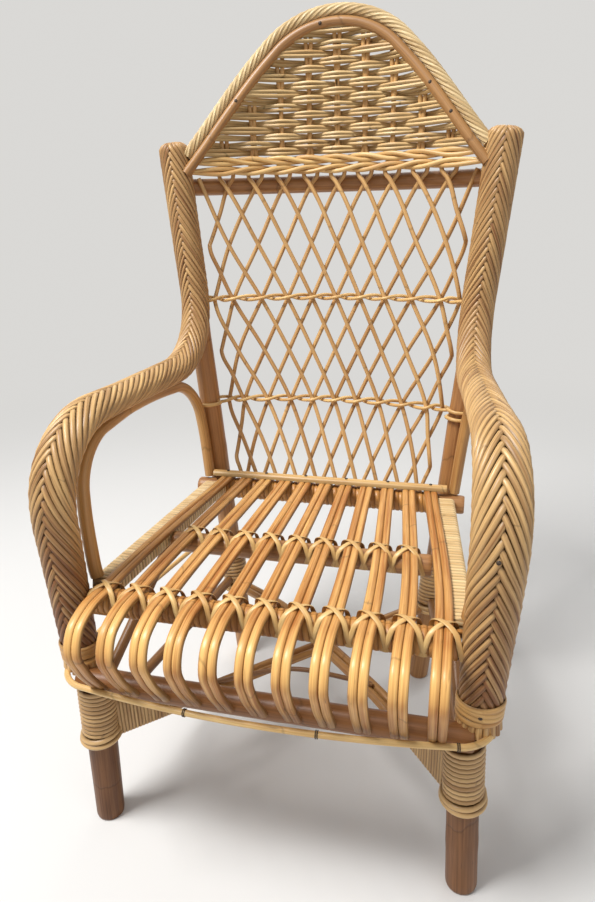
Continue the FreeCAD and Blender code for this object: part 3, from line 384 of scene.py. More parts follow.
def lines_of(node, sides):
    """Centre lines of the canes in a CAD node: tubes of flat sides, followed ring by ring from one end."""
    mesh = frame["nodes"][node].data
    places = np.array([v.co for v in mesh.vertices]).round(6)
    spots, index = np.unique(places, axis=0, return_inverse=True)
    mesh.calc_loop_triangles()
    corners = index.ravel()[[tuple(t.vertices) for t in mesh.loop_triangles]]
    normals = np.cross(spots[corners[:, 1]] - spots[corners[:, 0]], spots[corners[:, 2]] - spots[corners[:, 0]])
    areas = np.linalg.norm(normals, axis=1)
    corners, normals, areas = corners[areas > 0], normals[areas > 0], areas[areas > 0]
    normals = normals / areas[:, None]
    beside = [set() for _ in spots]
    at_edge = {}
    for number, corner in enumerate(corners):
        for v, ahead in zip(corner, np.roll(corner, -1)):
            beside[v].update(corner)
            at_edge.setdefault((min(v, ahead), max(v, ahead)), []).append(number)
    flat_of = list(range(len(corners)))
    for pair in at_edge.values():
        if len(pair) == 2 and normals[pair[0]].dot(normals[pair[1]]) > 0.9998:
            old, new = flat_of[pair[0]], flat_of[pair[1]]
            flat_of = [new if flat == old else flat for flat in flat_of]
    flats = {}
    for corner, area, flat in zip(corners, areas, flat_of):
        group = flats.setdefault(flat, [set(), 0.0])
        group[0].update(corner)
        group[1] += area
    ends = sorted((area, sorted(flat)) for flat, area in flats.values() if len(flat) == sides)
    lines, used = [], set()
    for _, ring in ends:
        if used.intersection(ring):
            continue
        rings, seen, level = [], set(), set(ring)
        while level:
            rings.append(spots[sorted(level)].mean(axis=0))
            seen |= level
            level = set().union(*(beside[v] for v in level)) - seen
        if len(rings) == len(seen) / sides:
            used |= seen
            lines.append(np.array(rings))
    return lines


def rising(line, axis):
    """The line turned round where that makes it rise along an axis."""
    return line if line[0][axis] < line[-1][axis] else line[::-1]


cane_colour = cane_finish("golden_cane", (0.58, 0.315, 0.105), (0.29, 0.125, 0.034), joint_gap=0.23)
brown_cane = cane_finish("brown_cane", (0.31, 0.15, 0.050), (0.14, 0.055, 0.016), joint_gap=0.21)
HOOP_RADIUS = 0.0029
HOOP_INSET = 0.0021
hoop_finish = cane_finish("hoop_cane", (0.88, 0.62, 0.27), (0.56, 0.31, 0.10), joint_gap=0.16)
hoop = Bundle(41)
for line in lines_of("base_hoop", 6):
    line = bend_through(line, 0.008)
    outward = unit(np.cross(np.gradient(line, axis=0), (0, 0, 1)))
    if outward[0][0] * line[0][0] < 0:
        outward = -outward
    hoop_line = line - outward * HOOP_INSET
    hoop.sweep(hoop_line, round_section(HOOP_RADIUS, 12))
hoop.make("hoop_base", hoop_finish, "cane", "base_hoop")
STRETCHER_RADIUS = 0.006
STRUT_RADIUS = 0.0055
BRACE_RADIUS = 0.0046
BOW_RADIUS = 0.0025
for name in ("left", "right"):
    for node, radius in (("side_stretcher_", STRETCHER_RADIUS), ("side_strut_", STRUT_RADIUS)):
        bundle = Bundle(51 + len(node))
        for line in lines_of(node + name, 6):
            pole(bundle, line[0], line[-1], radius, sides=14)
        bundle.make(node.replace("side_", "") + name, brown_cane, "cane", node + name)
brace_runs = []
for order in ("lower", "upper"):
    bundle = Bundle(61 + len(order))
    pair = [rising(bend_through(line, 0.01), 1) for line in lines_of("cross_brace_" + order, 6)]
    for line in pair:
        bundle.sweep(line, round_section(BRACE_RADIUS, 12))
    brace_runs.append(np.mean(pair, axis=0))
    bundle.make("brace_cross_" + order, cane_colour, "cane", "cross_brace_" + order)
bow = Bundle(71)
for line in lines_of("brace_bow", 5):
    bow.sweep(bend_through(line, 0.005), round_section(BOW_RADIUS, 8))
bow.make("bow_brace", brown_cane, "cane", "brace_bow")


# Leg wraps
# Thin canes wound tight round each leg over the ends of the stretchers and braces, ending in a thicker
# ring of two strands at the bottom. At the front legs the braces are wound too, in a wedge under the hoop.

WRAP_LOW = 0.104
WRAP_HIGH = 0.169
WRAP_STRAND = 0.0050
WRAP_DEEP = 0.0022
WRAP_GAP = 0.0018
RING_RADIUS = 0.0028
RING_OUT = 0.0042
RING_STEP = 0.0044
wrap_finish = cane_finish(
    "wound_cane", (0.65, 0.415, 0.18), (0.31, 0.15, 0.050), joint_gap=0.6, crevice=0.75, relief=0.2
)


def dome_section(width, thickness):
    """A split cane: flat below, domed above."""
    shape = ((-0.5, 0), (0.5, 0), (0.46, 0.5), (0.28, 0.86), (0, 1), (-0.28, 0.86), (-0.46, 0.5))
    return [(width * u, thickness * v) for u, v in shape]


def winding(bundle, start, end, radius, width, thickness, steps=18, lean=0.0):
    """Turns of one strand round a straight pole, side by side from start to end."""
    start, end = np.array(start, float), np.array(end, float)
    length = np.linalg.norm(end - start)
    axis = (end - start) / length
    first = unit(np.cross(axis, np.eye(3)[np.argmin(np.abs(axis))]))
    second = np.cross(axis, first)
    turns = max(1, round(length / width))
    angle = np.linspace(0, 2 * math.pi * turns, turns * steps + 1)
    out = np.cos(angle)[:, None] * first + np.sin(angle)[:, None] * second
    reach = np.linspace(0, length, len(angle)) + lean * np.sin(angle)
    line = start + axis * reach[:, None] + out * radius
    for turn in range(turns):
        part = slice(turn * steps, (turn + 1) * steps + 1)
        bundle.sweep(line[part], dome_section(width * 1.06, thickness), up=out[part], shaded=True)


def circle(first, second, number):
    """Angles all round, and the directions at them in the plane of two directions."""
    angle = np.linspace(0, 2 * math.pi, number, endpoint=False)
    return angle, np.cos(angle)[:, None] * first + np.sin(angle)[:, None] * second


for name, side in SIDES:
    for end, place, radius in (("front", on_leg, LEG_RADIUS), ("back", on_post, POST_RADIUS)):
        bundle = Bundle(81 + side + len(end))
        low, high = place(side, WRAP_LOW + 0.010), place(side, WRAP_HIGH)
        winding(bundle, low, high, radius + WRAP_GAP, WRAP_STRAND, WRAP_DEEP, lean=0.0016)
        for turn in (0, 1):
            base = np.array(place(side, WRAP_LOW + 0.0030 + RING_STEP * turn))
            angle, out = circle((1, 0, 0), (0, 1, 0), 28)
            ring = base + out * (radius + RING_OUT - 0.0008 * turn)
            ring[:, 2] += 0.0018 * np.sin(angle + turn)
            bundle.sweep(ring, round_section(RING_RADIUS, 9), up=out, loop=True, shaded=True, tone=0.95)
        bundle.make("wrap_%s_leg_%s" % (end, name), wrap_finish, "wrap", "%s_leg_wrap_%s" % (end, name))


CORNER_STEPS = 3


def rounded_loop(low, high, bend):
    """Corners of a rounded rectangle, with the direction out of it at each point."""
    points, outs = [], []
    for u, v, turn in ((1, 1, 0), (-1, 1, 1), (-1, -1, 2), (1, -1, 3)):
        corner = (high if u > 0 else low)[0] - u * bend, (high if v > 0 else low)[1] - v * bend
        for k in range(CORNER_STEPS + 1):
            angle = math.pi / 2 * (turn + k / CORNER_STEPS)
            outs.append((math.cos(angle), math.sin(angle)))
            points.append((corner[0] + bend * outs[-1][0], corner[1] + bend * outs[-1][1]))
    return np.array(points), np.array(outs)


def place_on(line, marks, mark):
    """The place on a line at a mark, where its points have rising marks."""
    return np.array([np.interp(mark, marks, line[:, k]) for k in range(3)])


GUSSET_STRIP = 0.0034
GUSSET_LENGTH = 0.054
GUSSET_RISE = 0.030
GUSSET_HALF = 2 * BRACE_RADIUS + 0.0005
GUSSET_FOOT = BRACE_RADIUS + 0.0004
GUSSET_BEND = 0.004
GUSSET_THICK = 0.0013
STRIP_LAP = 1.05
for run in brace_runs:
    name = "left" if run[0][0] < 0 else "right"
    bundle = Bundle(87 + len(name))
    along = unit(run[1] - run[0])
    across = np.cross(along, (0, 0, 1))
    for k in range(-2, int(GUSSET_LENGTH / GUSSET_STRIP)):
        reach = (k + 0.5) * GUSSET_STRIP
        middle = place_on(run, lengths(run), reach) + along * min(reach, 0)
        rise = GUSSET_FOOT + GUSSET_RISE * (1 - reach / GUSSET_LENGTH)
        points, outs = rounded_loop((-GUSSET_HALF, -GUSSET_FOOT), (GUSSET_HALF, rise), GUSSET_BEND)
        loop = middle + points[:, :1] * across + points[:, 1:] * (0, 0, 1)
        out = outs[:, :1] * across + outs[:, 1:] * (0, 0, 1)
        bundle.sweep(loop, dome_section(GUSSET_STRIP * STRIP_LAP, GUSSET_THICK), up=out, loop=True, shaded=True)
    bundle.make("gusset_brace_" + name, wrap_finish, "wrap")


# Seat rails and their wraps
# Stained poles across the seat. The front and rear ones are wound with orange cane strip from end to end;
# the middle one is bare.

strip_finish = cane_finish(
    "rail_strip", (0.68, 0.33, 0.085), (0.37, 0.135, 0.027), joint_gap=0.5, crevice=0.6, relief=0.2
)
STRIP_WIDTH = 0.0058
STRIP_THICK = 0.0016
STRIP_GAP = 0.0005
for place in ("front", "mid", "rear"):
    start, end, radius = box_axis("seat_%s_rail" % place)
    bundle = Bundle(91 + len(place))
    pole(bundle, start, end, radius)
    bundle.make("rail_seat_" + place, post_finish, "pole", "seat_%s_rail" % place)
    if place != "mid":
        low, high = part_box("seat_%s_wrap" % place)
        wound = Bundle(95 + len(place))
        start, end = (low.x, *start[1:]), (high.x, *end[1:])
        winding(wound, start, end, radius + STRIP_GAP, STRIP_WIDTH, STRIP_THICK, steps=14)
        wound.make("wrap_seat_" + place, strip_finish, "wrap", "seat_%s_wrap" % place)


# Side bands of the seat
# A flat bar each side, wound with thin pale strips that lie close together over its whole length. At the
# front three cut ends lie stacked across it.

BAND_STRIP = 0.0052
BAND_THICK = 0.0017
BAND_BEND = 0.003
STRIP_END_RADIUS = 0.0022
STRIP_END_STEP = 0.0042
band_finish = cane_finish(
    "band_strip", (0.92, 0.69, 0.36), (0.62, 0.37, 0.14), joint_gap=0.5, crevice=0.65, relief=0.2
)


def plain_finish(name, pale, deep, grain, metal=0.0):
    """A finish for a piece without a stem: streaks or spots in the piece's own coordinates."""
    material, nodes, links = new_material(name)
    shader = fill(nodes["Principled BSDF"], {"Metallic": metal})
    place = new_node(nodes, "TexCoord")
    stretch = new_node(nodes, "VectorMath", {1: grain}, "MULTIPLY")
    spots = new_node(nodes, "TexNoise", {"Scale": 1.0, "Detail": 4.0})
    tint = new_node(nodes, "ValToRGB")
    for stop, position, colour in zip(tint.color_ramp.elements, (0.32, 0.68), (deep, pale)):
        stop.position = position
        stop.color = (*colour, 1)
    dull = new_node(nodes, "Math", {1: 0.3, 2: 0.35}, "MULTIPLY_ADD")
    links.new(place.outputs["Object"], stretch.inputs[0])
    links.new(stretch.outputs[0], spots.inputs["Vector"])
    links.new(spots.outputs["Fac"], tint.inputs[0])
    links.new(tint.outputs["Color"], shader.inputs["Base Color"])
    links.new(spots.outputs["Fac"], dull.inputs[0])
    links.new(dull.outputs[0], shader.inputs["Roughness"])
    return material


bar_finish = plain_finish("seat_bar", (0.36, 0.15, 0.045), (0.17, 0.06, 0.016), (420, 14, 420))


def band_edges(node, share):
    """Inner and outer edge of a side band at a share of its length, from its four bottom corners."""
    spots = np.array([v.co for v in frame["nodes"][node].data.vertices])
    rear = spots[spots[:, 1] > spots[:, 1].max() - 0.0005]
    front_half = np.abs(spots[:, 0]).max()
    rear_low, rear_high = np.abs(rear[:, 0]).min(), np.abs(rear[:, 0]).max()
    outer = front_half + (rear_high - front_half) * share
    return outer - (rear_high - rear_low), outer


for name, side in SIDES:
    node = "seat_side_rail_" + name
    frame["nodes"][node].data.materials.clear()
    frame["nodes"][node].data.materials.append(bar_finish)
    low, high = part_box(node)
    strips = Bundle(101 + side)
    number = int((high.y - low.y) / BAND_STRIP)
    for k in range(number):
        share = (k + 0.5) / number
        inner, outer = band_edges(node, share)
        points, outs = rounded_loop((inner, low.z), (outer, high.z), BAND_BEND)
        y = low.y + (high.y - low.y) * share
        slant = 0.0016 * np.sign(outs[:, 1]) * (points[:, 0] - inner) / (outer - inner)
        line = np.stack([side * points[:, 0], y + slant, points[:, 1]], axis=1)
        out = np.stack([side * outs[:, 0], np.zeros(len(outs)), outs[:, 1]], axis=1)
        strips.sweep(line, dome_section(BAND_STRIP * STRIP_LAP, BAND_THICK), up=out, loop=True, shaded=True)
    inner, outer = band_edges(node, 0.0)
    for k in range(3):
        height = high.z - 0.0015 - STRIP_END_STEP * k
        ends = [(side * (inner - 0.004), low.y - 0.0015, height), (side * (outer - 0.002), low.y - 0.0015, height)]
        strips.sweep(bend_through(ends, 0.008), round_section(STRIP_END_RADIUS, 9), shaded=True, tone=0.8)
    strips.make("wrap_side_band_" + name, band_finish, "wrap", "seat_side_wrap_" + name)


# Seat slats and rear batten
# Pairs of split canes, round side up, laid from the rear rail over the front rail, turned down in a nose
# and tucked behind the hoop. A pale split cane is nailed over their rear ends.

SLAT_WIDTH = 0.0077
SLAT_THICK = 0.0042
SLAT_SHAPE = ((-0.5, 0), (0.5, 0), (0.5, 0.5), (0.42, 0.84), (0.2, 1), (-0.2, 1), (-0.42, 0.84), (-0.5, 0.5))
slat_section = [(SLAT_WIDTH * u, SLAT_THICK * v) for u, v in SLAT_SHAPE]
slat_finish = cane_finish(
    "seat_slat", (0.90, 0.53, 0.175), (0.42, 0.150, 0.027), joint_gap=0.27, crevice=0.7, relief=0.2
)
slat_nodes = sorted(node for node in frame["nodes"] if node.startswith("seat_slat_"))
slat_runs = []
for number, node in enumerate(slat_nodes):
    pair = Bundle(111 + number)
    shade = pair.chance.rand()
    for line in lines_of(node, 4):
        line = rising(line, 1)[::-1]
        slat_runs.append((number, line[:2]))
        line = np.vstack([line[:-2], line[-1] + (0, 0.0005, 0.001)])
        line = bend_through(line, 0.005)
        out = unit(np.cross(np.gradient(line, axis=0), (1, 0, 0)))
        tone = shade * 0.5 + pair.chance.rand() * 0.4 - 0.55
        # Painted highlight on the nose, where the slat faces up and forward.
        nose_highlight = 2 * np.clip(-out[:, 1], 0, 1) * np.clip(out[:, 2], 0, 1)
        # Darker towards the slat feet: painted shade, with dirt.
        foot = np.clip((line[-1][2] + 0.05 - line[:, 2]) / 0.05, 0, 1) ** 0.7 * 0.88
        pair.sweep(line - out * SLAT_THICK / 2, slat_section, up=out, shaded=True, tone=tone, dim=foot, wear=nose_highlight)
    pair.make("slat_seat_%02d" % (number + 1), slat_finish, "slat", node)
pale_finish = cane_finish(
    "pale_cane", (0.78, 0.53, 0.22), (0.46, 0.22, 0.06), joint_gap=0.3, crevice=0.5, relief=0.2
)
BATTEN_WIDTH = 0.012
BATTEN_THICK = 0.006
batten = Bundle(131)
low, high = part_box("seat_rear_batten")
ends = [(low.x, (low.y + high.y) / 2, low.z), (high.x, (low.y + high.y) / 2, low.z)]
batten.sweep(bend_through(ends, 0.01), dome_section(BATTEN_WIDTH, BATTEN_THICK), up=(0, 0, 1), shaded=True)
batten.make("batten_seat_rear", pale_finish, "slat", "seat_rear_batten")


# Seat lashings
# Flat pale cane crossed over each slat pair at the front and middle rails and drawn down both sides.

LASH_WIDTH = 0.0048
LASH_THICK = 0.0008
lash_finish = cane_finish(
    "lashing", (0.80, 0.54, 0.22), (0.52, 0.26, 0.07), joint_gap=0.7, crevice=0.2, relief=0.15
)


def eased(points, reach):
    """The line with each corner cut off, so that it bends there and lies straight between."""
    line = [points[0]]
    for before, corner, after in zip(points, points[1:], points[2:]):
        for other in (before, after):
            away = other - corner
            line.append(corner + away * min(reach / np.linalg.norm(away), 0.4))
    return np.array(line + [points[-1]])


def slat_centre(number, y):
    """Middle of a slat pair where it lies over a rail."""
    ends = np.mean([run for mark, run in slat_runs if mark == number], axis=0)
    return np.interp(y, ends[::-1, 1], ends[::-1, 0])


seat_top = max(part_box(node)[1].z for node in slat_nodes)
for place, cover, numbers in (("front", "seat_front_wrap", range(11)), ("mid", "seat_mid_rail", range(1, 10))):
    bundle = Bundle(141 + len(place))
    (_, y, z), _, radius = box_axis(cover)
    for number in numbers:
        x = slat_centre(number, y)
        for hand, lift in ((1, 0.0004), (-1, 0.0015)):
            top = seat_top + lift
            route = np.array([
                (x - hand * 0.0165, y - radius * 0.9, z - radius * 0.55),
                (x - hand * 0.0142, y - radius - 0.0004, z + radius * 0.2),
                (x - hand * 0.0094, y - 0.0080, top),
                (x + hand * 0.0080, y + 0.0088, top),
                (x + hand * 0.0112, y + radius * 1.02, z + radius * 0.35),
                (x + hand * 0.0118, y + radius * 0.9, z - radius * 0.55),
            ])
            route = bend_through(eased(route, 0.004), 0.003)
            out = route - (0, y, z - 0.004)
            out[:, 0] = 0
            bundle.sweep(route, dome_section(LASH_WIDTH, LASH_THICK), up=out, shaded=True)
    bundle.make("lashing_seat_" + place, lash_finish, "weave", "seat_%s_lashing" % place)


# Arms
# A bent pole from the lower rail over the armrest to the post, covered from foot to top with round
# strands that start under the seam by turns from each side and trail back round the arm, as a herringbone.

ARM_FOOT = 0.184
ARM_FRONT = 0.1915
ARM_HEIGHT = 0.424
FRONT_BEND = 0.080
REAR_BEND = 0.085
COVER_AT = (0.0, 0.10, 0.20, 0.28, 0.36, 0.46, 0.56, 0.66, 0.80, 1.0)
COVER_WIDE = (0.0175, 0.0200, 0.0224, 0.0230, 0.0220, 0.0194, 0.0186, 0.0186, 0.0186, 0.0186)
COVER_DEEP = (0.0165, 0.0172, 0.0180, 0.0178, 0.0162, 0.0148, 0.0156, 0.0168, 0.0176, 0.0180)
FRONT_PITCH = 0.0112
REAR_PITCH = 0.0098
PITCH_FROM = 0.28
PITCH_OVER = 0.3
STRAND_SHARE = 0.50
STRAND_FLAT = 0.8
STRAND_POINTS = 14
STRAND_EASE = 1.6
STRAND_TAPER = (0.55, 0.88, 0.8)
SEAM_RUN_ON = 0.11
STRAND_SLOPE = 1.95
SEAM_TUCK_DEG = -6.0
SEAM_SPAN_DEG = 6.0
SEAM_DIP = 0.55
SEAM_SHADE = 0.85
STRAND_END_DEG = 176.0
STRAND_LEAST_DEG = 25.0
BRAID_FOOT = 0.012
DOME = 0.008
# Strand tone along the arm: darker at the foot and paler over the armrest, painted shade and light together with
# age.
LIGHT_AND_AGE_AT = (0.0, 0.10, 0.24, 0.50, 0.70, 1.0)
LIGHT_AND_AGE_TONE = (-1.10, -0.70, 0.35, 0.50, -0.15, -0.05)
# Painted shade on the lower front of the left arm.
LEFT_SHADE = -0.65
LEFT_SHADE_AT = (0.22, 0.36)
LEFT_SLIM = 0.94
front_y = feet["foot_front_left"].y
braid_finish = cane_finish(
    "braid_strand", (0.80, 0.51, 0.212), (0.22, 0.082, 0.022), joint_gap=0.5, crevice=0.92, relief=0.2
)


def arm_line(side):
    """The arm's centre line: front upright, bend, armrest, bend and post, a point about every 3 mm."""
    rear = on_post(side, ARM_HEIGHT)
    top = on_post(side, POST_HEIGHT)
    corners = [
        Vector((side * ARM_FOOT, front_y, RAIL_HEIGHT + 0.001)),
        Vector((side * ARM_FRONT, front_y, ARM_HEIGHT)),
        rear,
        top + (top - rear).normalized() * DOME,
    ]
    line = [corners[0]]
    for before, corner, after, bend in zip(corners, corners[1:], corners[2:], (FRONT_BEND, REAR_BEND)):
        back, ahead = (before - corner).normalized(), (after - corner).normalized()
        half = back.angle(ahead) / 2
        centre = corner + (back + ahead).normalized() * (bend / math.sin(half))
        spoke = corner + back * (bend / math.tan(half)) - centre
        last = corner + ahead * (bend / math.tan(half)) - centre
        for k in range(25):
            line.append(centre + spoke.normalized().slerp(last.normalized(), k / 24) * bend)
    line.append(corners[3])
    fine = [line[0]]
    for here, there in zip(line, line[1:]):
        count = max(1, math.ceil((there - here).length / 0.003))
        fine += [here.lerp(there, k / count) for k in range(1, count + 1)]
    return np.array([tuple(p) for p in fine])


class Arm:
    """Places on one arm by the distance along it."""

    def __init__(self, side):
        self.side = side
        self.line = arm_line(side)
        self.reached = lengths(self.line)
        self.end = self.reached[-1]

    def at(self, s):
        """The centre, the direction to the seam and the direction across."""
        behind, centre, ahead = (place_on(self.line, self.reached, s + step) for step in (-0.002, 0, 0.002))
        along = unit(ahead - behind)
        seam = unit(np.cross((1, 0, 0), along))
        return centre, seam, np.cross(along, seam) * -self.side

    def pitch(self, s):
        """Distance from strand to strand along the seam: heavier strands at the front, finer at the post."""
        share = min(max((s / self.end - PITCH_FROM) / PITCH_OVER, 0), 1)
        return FRONT_PITCH + (REAR_PITCH - FRONT_PITCH) * share * share * (3 - 2 * share)

    def strand(self, s):
        """Width and thickness of a strand."""
        width = self.pitch(s) * STRAND_SHARE
        return width, width * STRAND_FLAT

    def cover(self, s):
        """Half width and half depth outside the braid: broad at the front bend, closed over the top."""
        length = self.end - DOME
        over = min(max((s - length) / DOME, 0), 1)
        close = math.sqrt(max(1 - over ** 2, 0.0)) * (LEFT_SLIM if self.side < 0 else 1.0)
        wide, deep = (np.interp(s / length, COVER_AT, cover) for cover in (COVER_WIDE, COVER_DEEP))
        return wide * close, deep * close

    def skin(self, s, turn, under=0.0):
        """A place on the braid's outside, or under it, at a turn from the seam, and the direction out."""
        centre, seam, across = self.at(s)
        wide, deep = self.cover(s)
        place = centre + seam * math.cos(turn) * (deep - under) + across * math.sin(turn) * (wide - under)
        out = seam * math.cos(turn) * (wide + 0.001) + across * math.sin(turn) * (deep + 0.001)
        return place, unit(out)

    def seams(self, shift):
        """Places along the seam where the strands of one side start."""
        s = self.pitch(0) * (1 + shift)
        while s < self.end + SEAM_RUN_ON:
            yield s
            s += self.pitch(s)


for name, side in SIDES:
    arm = Arm(side)
    core = Bundle(151 + side)
    reach = np.linspace(0.004, arm.end - DOME * 0.2, 90)
    core_line = np.array([arm.at(s)[0] for s in reach])
    core_size = [max(arm.cover(s)[1] - arm.strand(s)[1], 0.002) for s in reach]
    core.sweep(core_line, round_section(1, 14), swell=core_size, tone=0.0)
    core.make("core_arm_" + name, brown_cane, "pole", "arm_core_" + name)
    braid = Bundle(155 + side)
    for hand, shift in ((1, 0.0), (-1, 0.5)):
        for seam_s in arm.seams(shift):
            width, thick = arm.strand(seam_s)
            fall = STRAND_SLOPE * (sum(arm.cover(min(seam_s, arm.end - DOME))) - thick) / 2
            first = max(math.radians(SEAM_TUCK_DEG), (seam_s - arm.end + 0.001) / fall)
            last = min(math.radians(STRAND_END_DEG), (seam_s - BRAID_FOOT) / fall)
            if last - first < math.radians(STRAND_LEAST_DEG):
                continue
            turns = first + (last - first) * np.linspace(0, 1, STRAND_POINTS) ** STRAND_EASE
            near = np.exp(-(((np.degrees(turns) - SEAM_TUCK_DEG) / SEAM_SPAN_DEG) ** 2))
            route = [
                arm.skin(seam_s - fall * turn, turn * hand, thick * (0.5 + SEAM_DIP * dip))
                for turn, dip in zip(turns, near)
            ]
            swell = np.full(STRAND_POINTS, 0.93 + 0.12 * braid.chance.rand())
            swell[[0, 1, -1]] *= STRAND_TAPER
            section = [(width / 2 * u, thick / 2 * v) for u, v in round_section(1, 8)]
            line, outs = map(np.array, zip(*route))
            # Tone: random per strand, plus painted shade and light with age along the arm.
            tone = np.interp(seam_s / arm.end, LIGHT_AND_AGE_AT, LIGHT_AND_AGE_TONE) + 0.5 * braid.chance.rand()
            # Painted shade on the lower left arm.
            tone += np.interp(seam_s / arm.end, LEFT_SHADE_AT, (LEFT_SHADE, 0)) * (side < 0)
            # Painted shade where each strand tucks under the seam.
            braid.sweep(line, section, up=outs, swell=swell, shaded=True, tone=tone, dim=SEAM_SHADE * near)
    braid.make("braid_arm_" + name, braid_finish, "braid", "arm_braid_" + name)


# Arm bands
# Flat turns of pale cane nailed round the foot of each braid; the cut ends of the strands show below.

BAND_TURN = 0.0046
STUB_RADIUS = 0.0031
band_ring = cane_finish(
    "foot_band", (0.72, 0.43, 0.15), (0.40, 0.165, 0.04), joint_gap=0.8, crevice=0.6, relief=0.15
)
for name, side in SIDES:
    arm = Arm(side)
    bundle = Bundle(161 + side)
    for turn in range(4):
        s = BRAID_FOOT + 0.006 + turn * BAND_TURN
        angle = np.linspace(0, 2 * math.pi, 32, endpoint=False)
        ring = [arm.skin(s + 0.0012 * math.sin(a * (1 if turn % 2 else -1) + turn), a, -0.0004) for a in angle]
        places, outs = map(np.array, zip(*ring))
        bundle.sweep(places, dome_section(BAND_TURN * 1.3, 0.0015), up=outs, loop=True, shaded=True)
    bundle.make("band_arm_" + name, band_ring, "wrap", "arm_band_" + name)
    stubs = Bundle(165 + side)
    for degrees in range(-80, 81, 20):
        place, out = arm.skin(BRAID_FOOT + 0.008, math.radians(degrees), 0.0028)
        drop = 0.013 + 0.004 * stubs.chance.rand()
        stub = bend_through([place, place + out * 0.0015 - (0, 0, drop)], 0.004)
        stubs.sweep(stub, round_section(STUB_RADIUS, 9))
    stubs.make("stake_ends_arm_" + name, braid_finish, "braid")


# Arm supports
# A golden cane each side, bent down from under the armrest to the seat at the front and along the post.

SUPPORT_RADIUS = 0.0065
SUPPORT_STAND_OFF = 0.027
SUPPORT_FOOT = 0.01
SUPPORT_RISE = 0.12
SUPPORT_FORE = 0.05
for name in ("left", "right"):
    bundle = Bundle(171 + len(name))
    for line in lines_of("arm_support_" + name, 6):
        line = bend_through(line, 0.007)
        rise = np.clip((line[:, 2] - line[:, 2].min() - SUPPORT_FOOT) / SUPPORT_RISE, 0, 1)
        fore = np.clip((line[:, 1].mean() - line[:, 1]) / SUPPORT_FORE, 0, 1)
        line[:, 1] += SUPPORT_STAND_OFF * rise * fore
        bundle.sweep(line, round_section(SUPPORT_RADIUS, 14))
    bundle.make("support_arm_" + name, cane_colour, "cane", "arm_support_" + name)


# Back: crossbar and canes
# A bowed pole from post to post behind thin round canes. Above it the canes stand in pairs; below it each
# pair parts, and the canes cross as a lattice down to the seat.

CROSSBAR_RADIUS = 0.0095
CANE_RADIUS = 0.0025
CROSSING_FLARE = 2.5
BAR_REACH = 0.012
LATTICE_SPREAD = 0.095
LATTICE_HALF = 0.14
END_CANE_OUT = 1.075
crossbar_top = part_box("back_crossbar")[1].z


def longer(line, reach):
    """The line with both its ends drawn out."""
    first, last = unit(line[0] - line[1]), unit(line[-1] - line[-2])
    return np.vstack([line[0] + first * reach, line, line[-1] + last * reach])


crossbar = Bundle(181)
for line in lines_of("back_crossbar", 8):
    crossbar.sweep(longer(bend_through(line, 0.008), BAR_REACH), round_section(CROSSBAR_RADIUS, 18))
crossbar.make("crossbar_back", post_finish, "pole", "back_crossbar")


def spread(line):
    """The line drawn out sideways to the posts below the crossbar."""
    below = np.clip((crossbar_top - 0.01 - line[:, 2]) / 0.10, 0, 1)
    low = 0.4 + 0.6 * np.clip((line[:, 2] - 0.33) / 0.12, 0, 1)
    wide = 1 + LATTICE_SPREAD * (line[:, 0] / LATTICE_HALF) ** 2 * below * low
    return np.stack([line[:, 0] * wide, line[:, 1], line[:, 2]], axis=1)


lattice_finish = cane_finish("lattice_cane", (0.66, 0.40, 0.155), (0.35, 0.16, 0.046), joint_gap=0.12)
for layer in ("front", "rear"):
    bundle = Bundle(185 + len(layer))
    for line in lines_of("back_canes_" + layer, 5):
        line = rising(line, 2)[::-1]
        if line[0][2] > crossbar_top + 0.015:
            flare = (line[1][0] - line[3][0]) * CROSSING_FLARE
            stake = line[1] + (0, 0, 0.016)
            line = np.vstack([line[:1], stake, line[1] + (flare, 0, 0.002), line[3:]])
        else:
            line[0] *= (END_CANE_OUT, 1, 1)
        bundle.sweep(bend_through(eased(spread(line), 0.004), 0.004), round_section(CANE_RADIUS, 10))
    bundle.make("canes_back_" + layer, lattice_finish, "cane", "back_canes_" + layer)


# Lattice twines
# Two pale strands twisted round every crossing of the lattice in one row. Their ends stop at the posts in the
# upper row and are led round the posts in the lower.

TWINE_RADIUS = 0.0021
for row in ("upper", "lower"):
    bundle = Bundle(191 + len(row))
    for strand, line in enumerate(lines_of("lattice_twine_" + row, 4)):
        line = spread(rising(line, 0))
        tails = []
        for side, end in ((-1, line[0]), (1, line[-1])):
            post = np.array(on_post(side, end[2] + 0.004 * (strand - 0.5)))
            if row == "upper":
                tails.append([post + (-side * 0.012, 0.004 * strand, 0.003 * strand)])
            else:
                beside = post - (side * (POST_RADIUS + 0.003), 0.006, 0)
                front = post - (0, POST_RADIUS + TWINE_RADIUS + 0.0004, 0.001)
                tails.append([beside, front - (side * 0.007, 0, 0), front + (side * 0.008, 0, -0.001)])
        line = np.vstack([tails[0][::-1], line, tails[1]])
        bundle.sweep(bend_through(line, 0.004), round_section(TWINE_RADIUS, 8))
    bundle.make("twine_lattice_" + row, pale_finish, "weave", "lattice_twine_" + row)


# Woven panel
# Plain weave of paired pale strands round the stake pairs, over a heavier wale of three strands.

